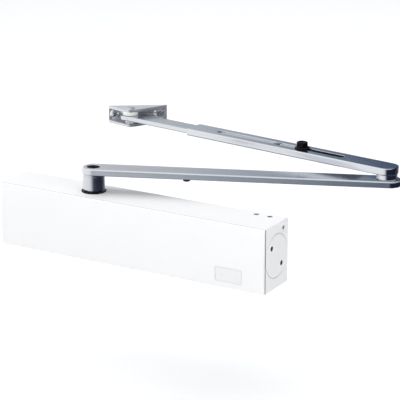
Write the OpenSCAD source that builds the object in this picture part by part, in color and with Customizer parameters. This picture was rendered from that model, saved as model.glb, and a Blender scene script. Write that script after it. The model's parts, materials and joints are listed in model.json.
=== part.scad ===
// Surface-mounted rack-and-pinion door closer with an adjustable regular arm.
// X runs along the body, +Y points at the door the body is screwed to, Z is the spindle's direction.
// The origin is the centre of the body's four fixing holes, on the mounting face.

/* [Body] */
// Length of the body
body_l = 280; // [270:1:300]
// Height of the body
body_h = 60; // [60:1:66]
// Depth of the cast housing, without the cover
body_d = 42; // [42:0.5:44]
// Thickness of the front cover
cover_t = 1.6; // [1.6:0.1:2]
// How far the middle of the cover bows out
cover_crown = 1.4; // [1:0.1:2]
// Spacing of the fixing holes along the body
fix_l = 190; // [180:1:196]
// Spacing of the fixing holes up the body
fix_h = 47; // [46:0.5:48]
// Radius of a fixing hole
fix_r = 2.75; // [2.5:0.05:3]

/* [Bore and piston] */
// Radius of the cylinder bore
bore_r = 18; // [17.5:0.1:18.5]
// Length of an end plug
plug_l = 12; // [11:0.5:13]
// Radius of an end plug's head
plug_head_r = 20.2; // [19.8:0.1:20.4]
// Length of each piston head
piston_head_l = 14; // [12:0.5:15]

/* [Spindle] */
// Spindle's distance along the body from its middle
spindle_x = -51.2; // [-52:0.1:-49]
// Journal radius of the spindle
spindle_r = 8; // [7.9:0.05:8]
// Side of the spindle's square end
square_w = 11; // [10:0.1:11.2]
// Module of the pinion and the rack
gear_module = 1.5; // [1.4:0.05:1.5]
// Number of pinion teeth
pinion_teeth = 14; // [13:1:14]
// Turn of the spindle, degrees
spindle_travel = 170; // [150:5:175]

/* [Arms] */
// Main arm length, spindle to elbow
main_l = 268.5; // [255:0.5:275]
// Width of the main arm
main_w = 21; // [20:0.5:22]
// Thickness of the main arm
main_t = 6; // [5.5:0.1:6.2]
// Underside of the main arm above the body's middle
main_z = 47.2; // [46.5:0.1:48]
// Direction of the main arm from +X, degrees
main_angle = 22.05; // [20:0.05:24]
// Forearm length, elbow to bracket pivot
fore_l = 297; // [290:1:305]
// Direction of the forearm from +X, degrees
fore_angle = 173; // [172:0.5:174]
// Width of the forearm sleeve
sleeve_w = 21.6; // [21:0.1:22]
// Height of the forearm sleeve
sleeve_t = 6.8; // [6.6:0.1:7]
// Length of the sleeve from the elbow to its open end
sleeve_l = 218.8; // [215:0.5:222]
// Elbow to the clamping screw
clamp_x = 92.4; // [90:0.5:95]

/* [Frame bracket] */
// Length of the screw plate
plate_l = 57.2; // [54:0.4:60]
// Height of the screw plate over both flanges
plate_h = 17; // [17:0.1:17.4]
// Sheet thickness of the bracket
plate_t = 2.5; // [2.3:0.1:2.6]
// Direction of the plate from +X, degrees
plate_angle = 33.7; // [30:0.1:37]
// Distance from the pivot to the plate's front face
pivot_out = 10.7; // [10.5:0.1:12]

/* [Hidden] */
$fn = 48;

eps = 0.01;
run_fit = 0.05;             // radial clearance of a running fit
screwed_gap = 0.1;          // radial clearance of a screwed plug in its seat
corner_r = 1.2;             // rounding of the body's long edges

// Body
bore_y = -body_d / 2;
end_x = body_l / 2;
top_z = body_h / 2;
cover_gap = 0.2;            // seam between housing and cover
cover_y = -body_d - cover_gap;
cover_edge_y = cover_y - cover_t;
crown_half = top_z - corner_r;
crown_r = (crown_half * crown_half + cover_crown * cover_crown) / (2 * cover_crown);
crown_y = cover_edge_y - cover_crown + crown_r;
back_relief_l = 150;        // shallow relief that leaves two pads on the back
back_relief_h = 38;
back_relief_t = 0.8;
hook_xs = [-125, -62, 0, 62, 125];
hook_l = 14;
hook_t = 1.4;
hook_z = 21;
hook_depth = 4.8;
hook_barb_r = 0.45;
pocket_t = 2.8;
pocket_depth = 6;
screw_seat_r = 5;
screw_seat_depth = 5;

// Badge, a blank plate let into the cover
badge_x = 104.2;
badge_z = -17.5;
badge_w = 27.4;
badge_h = 14;
badge_recess = 0.9;
badge_rim = 1;
badge_bar = 0.9;            // three plain bars in place of lettering
badge_bar_step = 3.2;
badge_short_bar = 9;

// End plugs
plug_head_t = 3;
plug_thread_r = 19;
plug_thread_l = 5;
plug_nose_r = bore_r - 0.1;
span_spacing = 26;          // spanner holes
span_r = 2.3;
span_depth = 5;
o_ring_r = 1.15;
plug_ring_x = end_x - plug_l + 2;
plug_ring_r = plug_nose_r - o_ring_r;

// Oil passages and regulating valves
passage_r = 2;
long_passage_y = -5;
long_passage_z = 17;
short_passage_y = -8.7;
short_passage_z = 22.9;
valve_xs = [111.5, 125.2];
valve_y = -6.5;
valve_r = 2.4;
valve_top = top_z - 1.6;
valve_bottom = 19;
valve_port_r = 1;
valve_ring_r = 0.42;
valve_ring_z = 22.5;
ball_in = 3;                // depth of a passage ball behind the end face

// Spindle, bearings and seals
seat_top_r = 11;
seat_low_r = 12.1;
spindle_low = -27.6;
collar_r = 11.7;
collar_top = top_z + 0.7;
hub_low = collar_top + 1.6;
journal_top = hub_low - 0.3;
square_top = 44;
screw_r = 3;
screw_low = 24;
shell_t = 1;
bearing_low = 18.2;
bearing_l = 6.8;
seal_low = 25.3;
seal_h = 2.4;
lower_cap_r = 13;
lower_cap_t = 1.6;

// Pinion and rack
pitch_r = gear_module * pinion_teeth / 2;
press_angle = 25;
base_r = pitch_r * cos(press_angle);
pinion_r = pitch_r + gear_module - 0.05;
root_r = pitch_r - 1.2 * gear_module;
tooth_h = 16;               // face width
backlash = 0.04;            // taken off each flank
rack_pitch = PI * gear_module;
rack_tip = pitch_r - 1.4;
rack_root = pitch_r + 1.25 * gear_module;
flank_steps = 5;

// Piston at rest, door closed
piston_r = bore_r - run_fit;
piston_travel = pitch_r * spindle_travel * PI / 180;
window_gap = 0.7;
window_lo = spindle_x - pinion_r - piston_travel - window_gap;
window_hi = spindle_x + pinion_r + window_gap;
window_y = pinion_r + window_gap;
piston_lo = window_lo - piston_head_l;
piston_hi = window_hi + piston_head_l;
spigot_r = 6.4;
spigot_l = 9;
seal_groove_w = 3;
seal_groove_t = 2.2;
check_hole_r = 1.6;
check_pocket_r = 3.2;
check_pocket_l = 8;
check_ball_r = 2.5;
retainer_t = 1.5;

// Closing springs
spring_lo = piston_hi + 0.2;
spring_hi = end_x - plug_l - 0.2;

// Main arm
chamfer = 1;
main_top = main_z + main_t;
main_end = 3;               // the round end's centre lies past the elbow
hub_r_low = 10.2;
hub_r_top = 9.8;
arm_hole_r = 6;
screw_seat_z = 45;
stud_x = 86.4;
stud_r = 3.5;
stud_t = 4;

// Elbow
pin_r = 4;
bush_r = 5.5;
elbow_gap = 0.1;
cone_top = main_z + 3;
boss_r = 8.2;
washer_t = 0.9;
boss_low = main_top + elbow_gap + washer_t;
sleeve_z = 58.6;

// Forearm
sleeve_top = sleeve_z + sleeve_t;
sleeve_side = 2;
sleeve_wall = 1.1;
sleeve_tail = 8;            // past the elbow
tail_r = 6;
solid_l = 30;
slot_lo = 46.2;
slot_hi = 189.2;
slot_w = 6.4;
notch_x = 2.6;              // half-round notches in the lower edges over the elbow
notch_r = 0.85;
rod_gap = 0.1;
rod_w = sleeve_w - 2 * sleeve_side - 2 * rod_gap;
rod_z = sleeve_z + sleeve_wall + rod_gap;
rod_t = sleeve_t - 2 * sleeve_wall - 2 * rod_gap;
rod_lo = 86;
eye_r = 9.8;
spare_hole_x = 121.3;
spare_hole_l = 7;
spare_hole_w = 4.4;
clamp_r = 3;
flange_r = 7.1;
flange_t = 1.6;
clamp_hex = 10;
clamp_head = 6.2;

// Frame bracket
plate_lo = -20.8;
plate_hi = plate_lo + plate_l;
bracket_z = rod_z + rod_t / 2 - plate_h / 2 - 0.2;
bracket_top = bracket_z + plate_h;
apex_r = 7;
pivot_r = 3.5;
rivet_r = 4.6;
rivet_t = 1;
bush_gap = 0.1;
bush_out_r = 7.7;
low_bush_out_r = 5.2;
bracket_screw_xs = [plate_lo + 6, plate_hi - 8.1];
bracket_screw_r = 2.5;
bracket_screw_head_r = 5.3;
bracket_screw_dome = 1.2;
bracket_screw_l = 18;

white = [0.94, 0.94, 0.93];
silver = [0.66, 0.68, 0.72];
steel = [0.6, 0.61, 0.63];
black = [0.05, 0.05, 0.06];
rubber = [0.09, 0.09, 0.1];
nylon = [0.93, 0.93, 0.9];
bronze = [0.68, 0.5, 0.28];

// ---------- placing ----------

// Children drawn along +Z run along +X.
module along_x(x, y = 0, z = 0) {
  translate([x, y, z]) rotate([0, 90, 0]) children();
}

// Children drawn in the XY plane become a section of the body, extruded along X about its middle.
module body_section(length) {
  rotate([90, 0, 90]) linear_extrude(length, center = true) children();
}

// Origin on the spindle's axis
module at_spindle() {
  translate([spindle_x, bore_y, 0]) children();
}

// Origin on the spindle's axis, +X along the main arm
module in_main_arm() {
  at_spindle() rotate([0, 0, main_angle]) children();
}

// Origin on the elbow's axis, +X towards the frame bracket
module in_forearm() {
  in_main_arm() translate([main_l, 0, 0]) rotate([0, 0, fore_angle - main_angle]) children();
}

// Origin on the bracket's pivot, +X along its plate, +Y towards the frame
module in_bracket() {
  in_forearm() translate([fore_l, 0, 0]) rotate([0, 0, plate_angle - fore_angle]) children();
}

// ---------- shapes ----------

module ring(r_out, r_in, z_lo, h) {
  translate([0, 0, z_lo]) difference() {
    cylinder(h = h, r = r_out);
    translate([0, 0, -1]) cylinder(h = h + 2, r = r_in);
  }
}

module torus(r_mid, r_wire) {
  rotate_extrude() translate([r_mid, 0]) circle(r = r_wire, $fn = 24);
}

// Half of a flat bar's section, from its middle out: height t, bevels c_top and c_low
module half_section(half_w, t, c_top, c_low) {
  polygon([
    [0, 0],
    [half_w - c_low, 0],
    [half_w, c_low],
    [half_w, t - c_top],
    [half_w - c_top, t],
    [0, t]
  ]);
}

// Flat bar with bevelled edges along +X, round at both ends
module round_bar(length, half_w, t, c_top, c_low) {
  rotate([90, 0, 90]) linear_extrude(length) {
    half_section(half_w, t, c_top, c_low);
    mirror([1, 0]) half_section(half_w, t, c_top, c_low);
  }
  for (x = [0, length])
    translate([x, 0, 0]) rotate_extrude($fn = 72) half_section(half_w, t, c_top, c_low);
}

// Slot along +X between the centres x_lo and x_hi of its round ends
module slot(x_lo, x_hi, w, z_lo, h) {
  translate([x_lo, -w / 2, z_lo]) cube([x_hi - x_lo, w, h]);
  for (x = [x_lo, x_hi])
    translate([x, 0, z_lo]) cylinder(h = h, d = w, $fn = 32);
}

// Rectangle from [x0, y0] to [x1, y1] with corner_r at the corners on its low-x side if lo, high-x side if hi
module edge_rounded(x0, x1, y0, y1, lo, hi) {
  r = corner_r;
  intersection() {
    translate([x0, y0]) square([x1 - x0, y1 - y0]);
    union() {
      translate([x0 + (lo ? r : 0), y0]) square([x1 - x0 - (lo ? r : 0) - (hi ? r : 0), y1 - y0]);
      translate([x0, y0 + r]) square([x1 - x0, y1 - y0 - 2 * r]);
      for (y = [y0 + r, y1 - r]) {
        if (lo) translate([x0 + r, y]) circle(r = r, $fn = 32);
        if (hi) translate([x1 - r, y]) circle(r = r, $fn = 32);
      }
    }
  }
}

// ---------- body ----------

module hook_row() {
  for (x = hook_xs, side = [-1, 1])
    translate([x, 0, side * hook_z]) children();
}

module fixing_places() {
  for (x = [-fix_l / 2, fix_l / 2], z = [-fix_h / 2, fix_h / 2])
    translate([x, 0, z]) rotate([90, 0, 0]) children();
}

module spindle_seats() {
  at_spindle() {
    cylinder(h = body_h, r = seat_top_r);
    translate([0, 0, -body_h]) cylinder(h = body_h, r = seat_low_r);
  }
}

module plug_seat() {
  along_x(end_x - plug_head_t, bore_y) cylinder(h = plug_l, r = plug_head_r + screwed_gap);
  along_x(end_x - plug_head_t - plug_thread_l, bore_y) cylinder(h = plug_l, r = plug_thread_r + screwed_gap);
}

module oil_passages() {
  along_x(-end_x - 1, long_passage_y, long_passage_z) cylinder(h = body_l - 12, r = passage_r);
  along_x(valve_xs[0], short_passage_y, short_passage_z) cylinder(h = 40, r = passage_r);
  translate([-120, long_passage_y, 5]) cylinder(h = long_passage_z - 5, r = valve_port_r);
  for (x = valve_xs) translate([x, valve_y, 0]) {
    translate([0, 0, valve_bottom - 0.5]) cylinder(h = top_z, r = valve_r);
    translate([0, 0, 15]) cylinder(h = top_z / 2, r = 1.6);
    translate([0, 0, 6]) cylinder(h = 10, r = valve_port_r);
  }
}

module housing() {
  color(white) difference() {
    body_section(body_l) edge_rounded(-body_d, 0, -top_z, top_z, false, true);
    along_x(-end_x - 1, bore_y) cylinder(h = body_l + 2, r = bore_r, $fn = 96);
    plug_seat();
    mirror([1, 0, 0]) plug_seat();
    spindle_seats();
    oil_passages();
    fixing_places() {
      translate([0, 0, -1]) cylinder(h = body_d + 2, r = fix_r);
      translate([0, 0, body_d - screw_seat_depth]) cylinder(h = screw_seat_depth + 1, r = screw_seat_r);
    }
    hook_row() translate([-hook_l / 2 - 1, -body_d - 1, -pocket_t / 2])
      cube([hook_l + 2, pocket_depth + 1, pocket_t]);
    translate([-back_relief_l / 2, -back_relief_t, -back_relief_h / 2])
      cube([back_relief_l, back_relief_t + 1, back_relief_h]);
  }
}

module crown(inset) {
  translate([crown_y, 0]) circle(r = crown_r - inset, $fn = 360);
}

module cover_hook() {
  translate([-hook_l / 2, cover_y - cover_crown, -hook_t / 2])
    cube([hook_l, hook_depth + cover_crown, hook_t]);
  along_x(-hook_l / 2, cover_y + hook_depth - 0.6) for (side = [-1, 1])
    translate([side * hook_t / 2, 0, 0]) cylinder(h = hook_l, r = hook_barb_r, $fn = 24);
}

module front_cover() {
  color(white) {
    difference() {
      body_section(body_l) {
        edge_rounded(cover_edge_y, cover_y, -top_z, top_z, true, false);
        intersection() {
          crown(0);
          translate([cover_y - 10, -crown_half]) square([10, 2 * crown_half]);
        }
      }
      body_section(body_l - 2 * cover_t) intersection() {
        crown(cover_t);
        translate([cover_y - 5, -crown_half]) square([5.1, 2 * crown_half]);
      }
      badge_slab(badge_w, badge_h, badge_recess, 5);
    }
    hook_row() cover_hook();
  }
}

// Curved slab that follows the cover's face, from "deep" under it to "deep - t" under it
module badge_slab(w, h, deep, t, z = badge_z) {
  translate([badge_x, 0, 0]) body_section(w) intersection() {
    difference() {
      crown(deep - t);
      crown(deep);
    }
    translate([-body_d - 10, z - h / 2]) square([10, h]);
  }
}

module badge() {
  inner_w = badge_w - 2 * badge_rim;
  inner_h = badge_h - 2 * badge_rim;
  color(white) difference() {
    badge_slab(badge_w - 0.3, badge_h - 0.3, badge_recess - eps, 0.6);
    badge_slab(inner_w, inner_h, badge_recess - 0.35, 1);
  }
  color(white) for (i = [-1 : 1])
    badge_slab(i > 0 ? badge_short_bar : inner_w - 6, badge_bar, badge_recess - 0.3, 0.25,
               badge_z + i * badge_bar_step);
}

// End plug on the +X end
module plug() {
  difference() {
    union() {
      along_x(end_x - plug_head_t, bore_y) cylinder(h = plug_head_t, r = plug_head_r, $fn = 96);
      along_x(end_x - plug_head_t - plug_thread_l, bore_y) cylinder(h = plug_thread_l, r = plug_thread_r);
      along_x(end_x - plug_l, bore_y) cylinder(h = plug_l - plug_head_t, r = plug_nose_r);
    }
    for (side = [-1, 1])
      along_x(end_x - span_depth, bore_y - side * span_spacing / sqrt(8), side * span_spacing / sqrt(8))
        cylinder(h = span_depth + 1, r = span_r, $fn = 32);
    along_x(plug_ring_x - o_ring_r - 0.1, bore_y)
      ring(plug_nose_r + 1, plug_ring_r - o_ring_r, 0, 2 * o_ring_r + 0.2);
  }
}

module right_plug() {
  color(white) plug();
}

module left_plug() {
  color(white) mirror([1, 0, 0]) plug();
}

module plug_o_rings() {
  color(rubber) for (side = [-1, 1])
    along_x(side * plug_ring_x, bore_y) torus(plug_ring_r, o_ring_r);
}

module passage_ball_left() {
  color(steel) translate([-end_x + ball_in, long_passage_y, long_passage_z]) sphere(r = passage_r, $fn = 32);
}

module passage_ball_right() {
  color(steel) translate([end_x - ball_in, short_passage_y, short_passage_z]) sphere(r = passage_r, $fn = 32);
}

// Regulating screw: slotted head, seal groove and needle tip
module valve_screw(x) {
  color(steel) translate([x, valve_y, 0]) difference() {
    union() {
      translate([0, 0, valve_bottom]) cylinder(h = valve_top - valve_bottom, r = valve_r - run_fit, $fn = 32);
      translate([0, 0, 14.5]) cylinder(h = valve_bottom - 14.5 + eps, r1 = 0.7, r2 = 1.5, $fn = 32);
    }
    translate([-valve_r, -0.45, valve_top - 1.2]) cube([2 * valve_r, 0.9, 2]);
    ring(valve_r + 1, 1.5, valve_ring_z - 0.5, 1);
  }
}

module valve_ring(x) {
  color(rubber) translate([x, valve_y, valve_ring_z]) torus(1.95, valve_ring_r);
}

module closing_speed_valve() {
  valve_screw(valve_xs[0]);
}

module latching_speed_valve() {
  valve_screw(valve_xs[1]);
}

module closing_valve_o_ring() {
  valve_ring(valve_xs[0]);
}

module latching_valve_o_ring() {
  valve_ring(valve_xs[1]);
}

// ---------- spindle ----------

function involute(a) = tan(a) * 180 / PI - a;

// Half the angle that a tooth takes up at radius r
function tooth_half(r) = 90 / pinion_teeth + involute(press_angle)
  - involute(acos(min(1, base_r / r))) - backlash / pitch_r * 180 / PI;

function polar(r, a) = [r * cos(a), r * sin(a)];

flank_radii = [root_r, for (i = [0 : flank_steps]) base_r + (pinion_r - base_r) * i / flank_steps];

// One tooth centred on angle a, up one flank and down the other
function tooth(a) = concat(
  [for (r = flank_radii) polar(r, a - tooth_half(max(r, base_r)))],
  [for (i = [len(flank_radii) - 1 : -1 : 0]) polar(flank_radii[i], a + tooth_half(max(flank_radii[i], base_r)))]
);

// A gap of the pinion faces the rack, in +Y
module pinion_section() {
  polygon([for (i = [0 : pinion_teeth - 1]) each tooth(90 + (i + 0.5) * 360 / pinion_teeth)]);
}

module spindle() {
  color(steel) at_spindle() difference() {
    union() {
      translate([0, 0, spindle_low]) cylinder(h = journal_top - spindle_low, r = spindle_r);
      translate([0, 0, -tooth_h / 2]) linear_extrude(tooth_h) pinion_section();
      rotate([0, 0, main_angle]) translate([-square_w / 2, -square_w / 2, journal_top - eps])
        cube([square_w, square_w, square_top - journal_top]);
    }
    translate([0, 0, screw_low - 1]) cylinder(h = body_h, r = screw_r);
  }
}

module spindle_collar() {
  color(black) at_spindle() rotate_extrude($fn = 72) polygon([
    [spindle_r + 0.4, 28],
    [seat_top_r - eps, 28],
    [seat_top_r - eps, top_z],
    [collar_r, top_z],
    [collar_r, collar_top - 0.5],
    [collar_r - 0.5, collar_top],
    [spindle_r + 0.4, collar_top]
  ]);
}

module spindle_seals() {
  color(rubber) at_spindle() {
    ring(seat_top_r - eps, spindle_r + 0.03, seal_low, seal_h);
    ring(seat_low_r - eps, spindle_r + 0.03, -seal_low - seal_h, seal_h);
  }
}

module bearing_shell(r_out) {
  ring(r_out - eps, r_out - shell_t, 0, bearing_l);
}

// Needles fill the space between the journal and the shell
module needles(r_out, count) {
  needle_d = r_out - shell_t - spindle_r - 0.06;
  for (i = [0 : count - 1])
    rotate([0, 0, (i + 0.5) * 360 / count]) translate([spindle_r + 0.03 + needle_d / 2, 0, 0.4])
      cylinder(h = bearing_l - 0.8, d = needle_d, $fn = 16);
}

module upper_bearing() {
  color(steel) at_spindle() translate([0, 0, bearing_low]) bearing_shell(seat_top_r);
}

module lower_bearing() {
  color(steel) at_spindle() translate([0, 0, -bearing_low - bearing_l]) bearing_shell(seat_low_r);
}

module upper_needles() {
  color(steel) at_spindle() translate([0, 0, bearing_low]) needles(seat_top_r, 24);
}

module lower_needles() {
  color(steel) at_spindle() translate([0, 0, -bearing_low - bearing_l]) needles(seat_low_r, 18);
}

module lower_cap() {
  color(black) at_spindle() {
    translate([0, 0, -top_z - lower_cap_t]) cylinder(h = lower_cap_t, r = lower_cap_r, $fn = 72);
    ring(seat_low_r - eps, seat_low_r - 1.5, -top_z - eps, 2);
  }
}

// ---------- piston and springs ----------

module rack_tooth() {
  half = rack_pitch / 4 - backlash;
  reach = tan(press_angle);
  polygon([
    [-half + reach * (pitch_r - rack_tip), rack_tip],
    [half - reach * (pitch_r - rack_tip), rack_tip],
    [half + reach * (rack_root - pitch_r), rack_root + eps],
    [-half - reach * (rack_root - pitch_r), rack_root + eps]
  ]);
}

module rack() {
  first = ceil((window_lo - spindle_x) / rack_pitch + 0.5);
  last = floor((window_hi - spindle_x) / rack_pitch - 0.5);
  for (i = [first : last])
    translate([spindle_x + i * rack_pitch, bore_y, -tooth_h / 2]) linear_extrude(tooth_h) rack_tooth();
}

module piston() {
  window = window_hi - window_lo;
  color(steel) {
    difference() {
      union() {
        along_x(piston_lo, bore_y) cylinder(h = piston_hi - piston_lo, r = piston_r, $fn = 96);
        along_x(piston_hi - eps, bore_y) cylinder(h = spigot_l, r = spigot_r);
      }
      translate([window_lo, bore_y - window_y, -bore_r]) cube([window, window_y + rack_root, 2 * bore_r]);
      along_x(piston_lo - 1, bore_y) cylinder(h = check_pocket_l + 1, r = check_pocket_r);
      along_x(piston_lo, bore_y) cylinder(h = piston_head_l + 1, r = check_hole_r);
      along_x(window_hi - 1, bore_y) cylinder(h = piston_head_l + spigot_l + 2, r = check_pocket_r);
      along_x(piston_lo + 4, bore_y)
        ring(piston_r + 1, piston_r - seal_groove_t, 0, seal_groove_w);
    }
    rack();
  }
}

module piston_seal() {
  color(rubber) along_x(piston_lo + 4 + 0.05, bore_y)
    ring(piston_r + 0.02, piston_r - seal_groove_t + eps, 0, seal_groove_w - 0.1);
}

// The ball rests on the edge of the check hole.
module check_ball() {
  seat = sqrt(check_ball_r * check_ball_r - check_hole_r * check_hole_r);
  color(steel) translate([piston_lo + check_pocket_l - seat - 0.03, bore_y, 0])
    sphere(r = check_ball_r, $fn = 32);
}

module check_retainer() {
  color(steel) along_x(piston_lo, bore_y) ring(check_pocket_r - eps, 1.5, 0, retainer_t);
}

// Axial advance after t of n turns, as a share of the free length: the end turns lie closed.
function spring_share(t, n, closed) =
  t < 1 ? closed * t :
  t > n - 1 ? 1 - closed * (n - t) :
  closed + (1 - 2 * closed) * (t - 1) / (n - 2);

// Helical compression spring along +X with closed ends
module coil_spring(x_lo, x_hi, r_mid, r_wire, turns, steps, sides) {
  span = x_hi - x_lo - 2 * r_wire;
  closed = 2.1 * r_wire / span;
  count = turns * steps;
  points = [
    for (i = [0 : count], k = [0 : sides - 1])
      let (
        t = i / steps,
        r = r_mid + r_wire * cos(360 * k / sides),
        x = x_lo + r_wire + span * spring_share(t, turns, closed) + r_wire * sin(360 * k / sides)
      )
      [x, bore_y + r * cos(360 * t), r * sin(360 * t)]
  ];
  skin = [
    for (i = [0 : count - 1], k = [0 : sides - 1])
      let (a = i * sides + k, b = i * sides + (k + 1) % sides)
      [b, a, a + sides, b + sides]
  ];
  start = [for (k = [0 : sides - 1]) k];
  finish = [for (k = [sides - 1 : -1 : 0]) count * sides + k];
  polyhedron(points, concat(skin, [start, finish]), convexity = 10);
}

module closing_spring() {
  color(steel) coil_spring(spring_lo, spring_hi, 14.1, 2.3, 14, 12, 6);
}

module inner_spring() {
  color(steel) coil_spring(spring_lo, spring_hi, 8.6, 1.3, 20, 10, 5);
}

// ---------- main arm ----------

module arm_hub() {
  color(silver) in_main_arm() difference() {
    translate([0, 0, hub_low]) cylinder(h = main_z - hub_low, r1 = hub_r_low, r2 = hub_r_top);
    translate([-square_w / 2 - run_fit, -square_w / 2 - run_fit, hub_low - 1])
      cube([square_w + 2 * run_fit, square_w + 2 * run_fit, square_top - hub_low + 1]);
    translate([0, 0, hub_low]) cylinder(h = main_z, r = screw_r + 0.3);
    translate([0, 0, screw_seat_z]) cylinder(h = main_t, r = arm_hole_r);
  }
}

module main_arm() {
  color(silver) in_main_arm() difference() {
    translate([0, 0, main_z]) round_bar(main_l + main_end, main_w / 2, main_t, chamfer, 0.5);
    translate([0, 0, main_z - 1]) cylinder(h = main_t + 2, r = arm_hole_r);
    translate([stud_x, 0, main_z - 1]) cylinder(h = 4, r = 1.5, $fn = 24);
    translate([main_l, 0, 0]) {
      translate([0, 0, cone_top]) cylinder(h = main_t, r = bush_r);
      translate([0, 0, main_z - eps]) cylinder(h = cone_top - main_z + 2 * eps, r1 = 7.2, r2 = 4.2);
    }
  }
}

module arm_screw() {
  color(steel) in_main_arm() difference() {
    union() {
      translate([0, 0, screw_seat_z]) cylinder(h = 4.5, r = 5);
      translate([0, 0, screw_low]) cylinder(h = screw_seat_z - screw_low + eps, r = screw_r - eps);
    }
    translate([0, 0, screw_seat_z + 1.7]) cylinder(h = 4, d = 5.8, $fn = 6);
  }
}

module arm_stud() {
  color(rubber) in_main_arm() translate([stud_x, 0, main_z]) {
    rotate_extrude() polygon([
      [0, 0],
      [stud_r, 0],
      [stud_r, -stud_t + 0.7],
      [stud_r - 0.7, -stud_t],
      [0, -stud_t]
    ]);
    translate([0, 0, -eps]) cylinder(h = 2.8, r = 1.5 - eps, $fn = 24);
  }
}

// ---------- elbow and forearm ----------

module elbow_bush() {
  color(bronze) in_forearm() ring(bush_r - 0.03, pin_r + run_fit, cone_top + eps, main_top - cone_top - eps);
}

module elbow_washer() {
  color(nylon) in_forearm() ring(boss_r, pin_r + run_fit, main_top + elbow_gap, washer_t);
}

module elbow_pin() {
  color(steel) in_forearm() {
    translate([0, 0, main_z + 0.1]) cylinder(h = cone_top - main_z - 0.1, r1 = 7, r2 = pin_r);
    translate([0, 0, cone_top]) cylinder(h = sleeve_top - 2.1 - cone_top, r = pin_r);
  }
}

// Cuts one corner of the sleeve's tail to a quarter round
module tail_corner() {
  translate([-sleeve_tail, sleeve_w / 2 - tail_r, sleeve_z - 1]) difference() {
    translate([-1, 0, 0]) cube([tail_r + 1, tail_r + 1, sleeve_t + 2]);
    translate([tail_r, 0, -1]) cylinder(h = sleeve_t + 4, r = tail_r);
  }
}

module forearm_sleeve() {
  inner_w = sleeve_w - 2 * sleeve_side;
  color(silver) in_forearm() difference() {
    union() {
      translate([-sleeve_tail, 0, sleeve_z]) rotate([90, 0, 90]) linear_extrude(sleeve_tail + sleeve_l) {
        half_section(sleeve_w / 2, sleeve_t, chamfer, 0.6);
        mirror([1, 0]) half_section(sleeve_w / 2, sleeve_t, chamfer, 0.6);
      }
      translate([0, 0, boss_low]) cylinder(h = sleeve_z - boss_low + 1, r = boss_r - eps);
    }
    tail_corner();
    mirror([0, 1, 0]) tail_corner();
    translate([solid_l, -inner_w / 2, sleeve_z + sleeve_wall])
      cube([sleeve_l, inner_w, sleeve_t - 2 * sleeve_wall]);
    slot(slot_lo + slot_w / 2, slot_hi - slot_w / 2, slot_w, sleeve_top - 2, 3);
    translate([0, 0, boss_low - 1]) cylinder(h = sleeve_top - 2 - boss_low + 1, r = pin_r + eps);
    for (side = [-1, 1])
      translate([notch_x, side * sleeve_w / 2, sleeve_z])
        rotate([90, 0, 0]) cylinder(h = 3, r = notch_r, center = true, $fn = 24);
  }
}

module forearm_rod() {
  color(silver) in_forearm() difference() {
    union() {
      translate([rod_lo, 0, rod_z]) rotate([90, 0, 90]) linear_extrude(fore_l - rod_lo) {
        half_section(rod_w / 2, rod_t, 0.5, 0.5);
        mirror([1, 0]) half_section(rod_w / 2, rod_t, 0.5, 0.5);
      }
      translate([fore_l, 0, rod_z]) rotate_extrude($fn = 72) half_section(eye_r, rod_t, 0.5, 0.5);
    }
    translate([fore_l, 0, rod_z - 1]) cylinder(h = rod_t + 2, r = pivot_r + 0.07);
    translate([clamp_x, 0, rod_z - 1]) cylinder(h = rod_t + 2, r = clamp_r + run_fit);
    slot(spare_hole_x - spare_hole_l / 2 + spare_hole_w / 2, spare_hole_x + spare_hole_l / 2 - spare_hole_w / 2,
         spare_hole_w, rod_z - 1, rod_t + 2);
  }
}

// Flanged hexagon screw with a dished head
module clamp_screw() {
  low = sleeve_top + 0.1;
  color(black) in_forearm() translate([clamp_x, 0, 0]) difference() {
    union() {
      translate([0, 0, rod_z + 0.3]) cylinder(h = low - rod_z, r = clamp_r);
      translate([0, 0, low]) cylinder(h = 0.6, r = flange_r);
      translate([0, 0, low + 0.6 - eps]) cylinder(h = flange_t - 0.6, r1 = flange_r, r2 = clamp_hex * 0.56);
      intersection() {
        translate([0, 0, low + 0.5]) cylinder(h = clamp_head - 0.5, d = clamp_hex / cos(30), $fn = 6);
        translate([0, 0, low]) rotate_extrude() polygon([
          [0, 0],
          [clamp_hex * 0.6, 0],
          [clamp_hex * 0.6, clamp_head - 0.9],
          [clamp_hex * 0.46, clamp_head],
          [0, clamp_head]
        ]);
      }
    }
    translate([0, 0, low + clamp_head - 1]) cylinder(h = 2, r1 = clamp_hex * 0.32, r2 = clamp_hex * 0.42);
  }
}

// ---------- frame bracket ----------

// Where the line from point p all but touches the apex circle, on its left (side 1) or right (side -1)
function tangent(p, side) =
  let (
    d = norm(p),
    r = apex_r - 0.05,
    a = atan2(p[1], p[0]) + side * acos(r / d)
  )
  polar(r, a);

module flange_outline() {
  left = [plate_lo, pivot_out];
  right = [plate_hi, pivot_out];
  polygon([
    left,
    tangent(left, 1),
    tangent(right, -1),
    right,
    [plate_hi, pivot_out + plate_t],
    [plate_lo, pivot_out + plate_t]
  ]);
  circle(r = apex_r);
}

module bracket_screw_places() {
  for (x = bracket_screw_xs)
    translate([x, pivot_out, bracket_z + plate_h / 2]) rotate([-90, 0, 0]) children();
}

module bracket() {
  color(silver) in_bracket() difference() {
    union() {
      translate([plate_lo, pivot_out, bracket_z]) cube([plate_l, plate_t, plate_h]);
      for (z = [bracket_z, bracket_top - plate_t])
        translate([0, 0, z]) linear_extrude(plate_t) flange_outline();
    }
    translate([0, 0, bracket_z - 1]) cylinder(h = plate_h + 2, r = pivot_r + eps);
    bracket_screw_places() {
      translate([0, 0, -1]) cylinder(h = plate_t + 2, r = bracket_screw_r + 0.2);
      translate([0, 0, -eps]) cylinder(h = 2.2 + eps, r1 = bracket_screw_head_r + 0.1, r2 = bracket_screw_r + 0.1);
    }
  }
}

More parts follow.
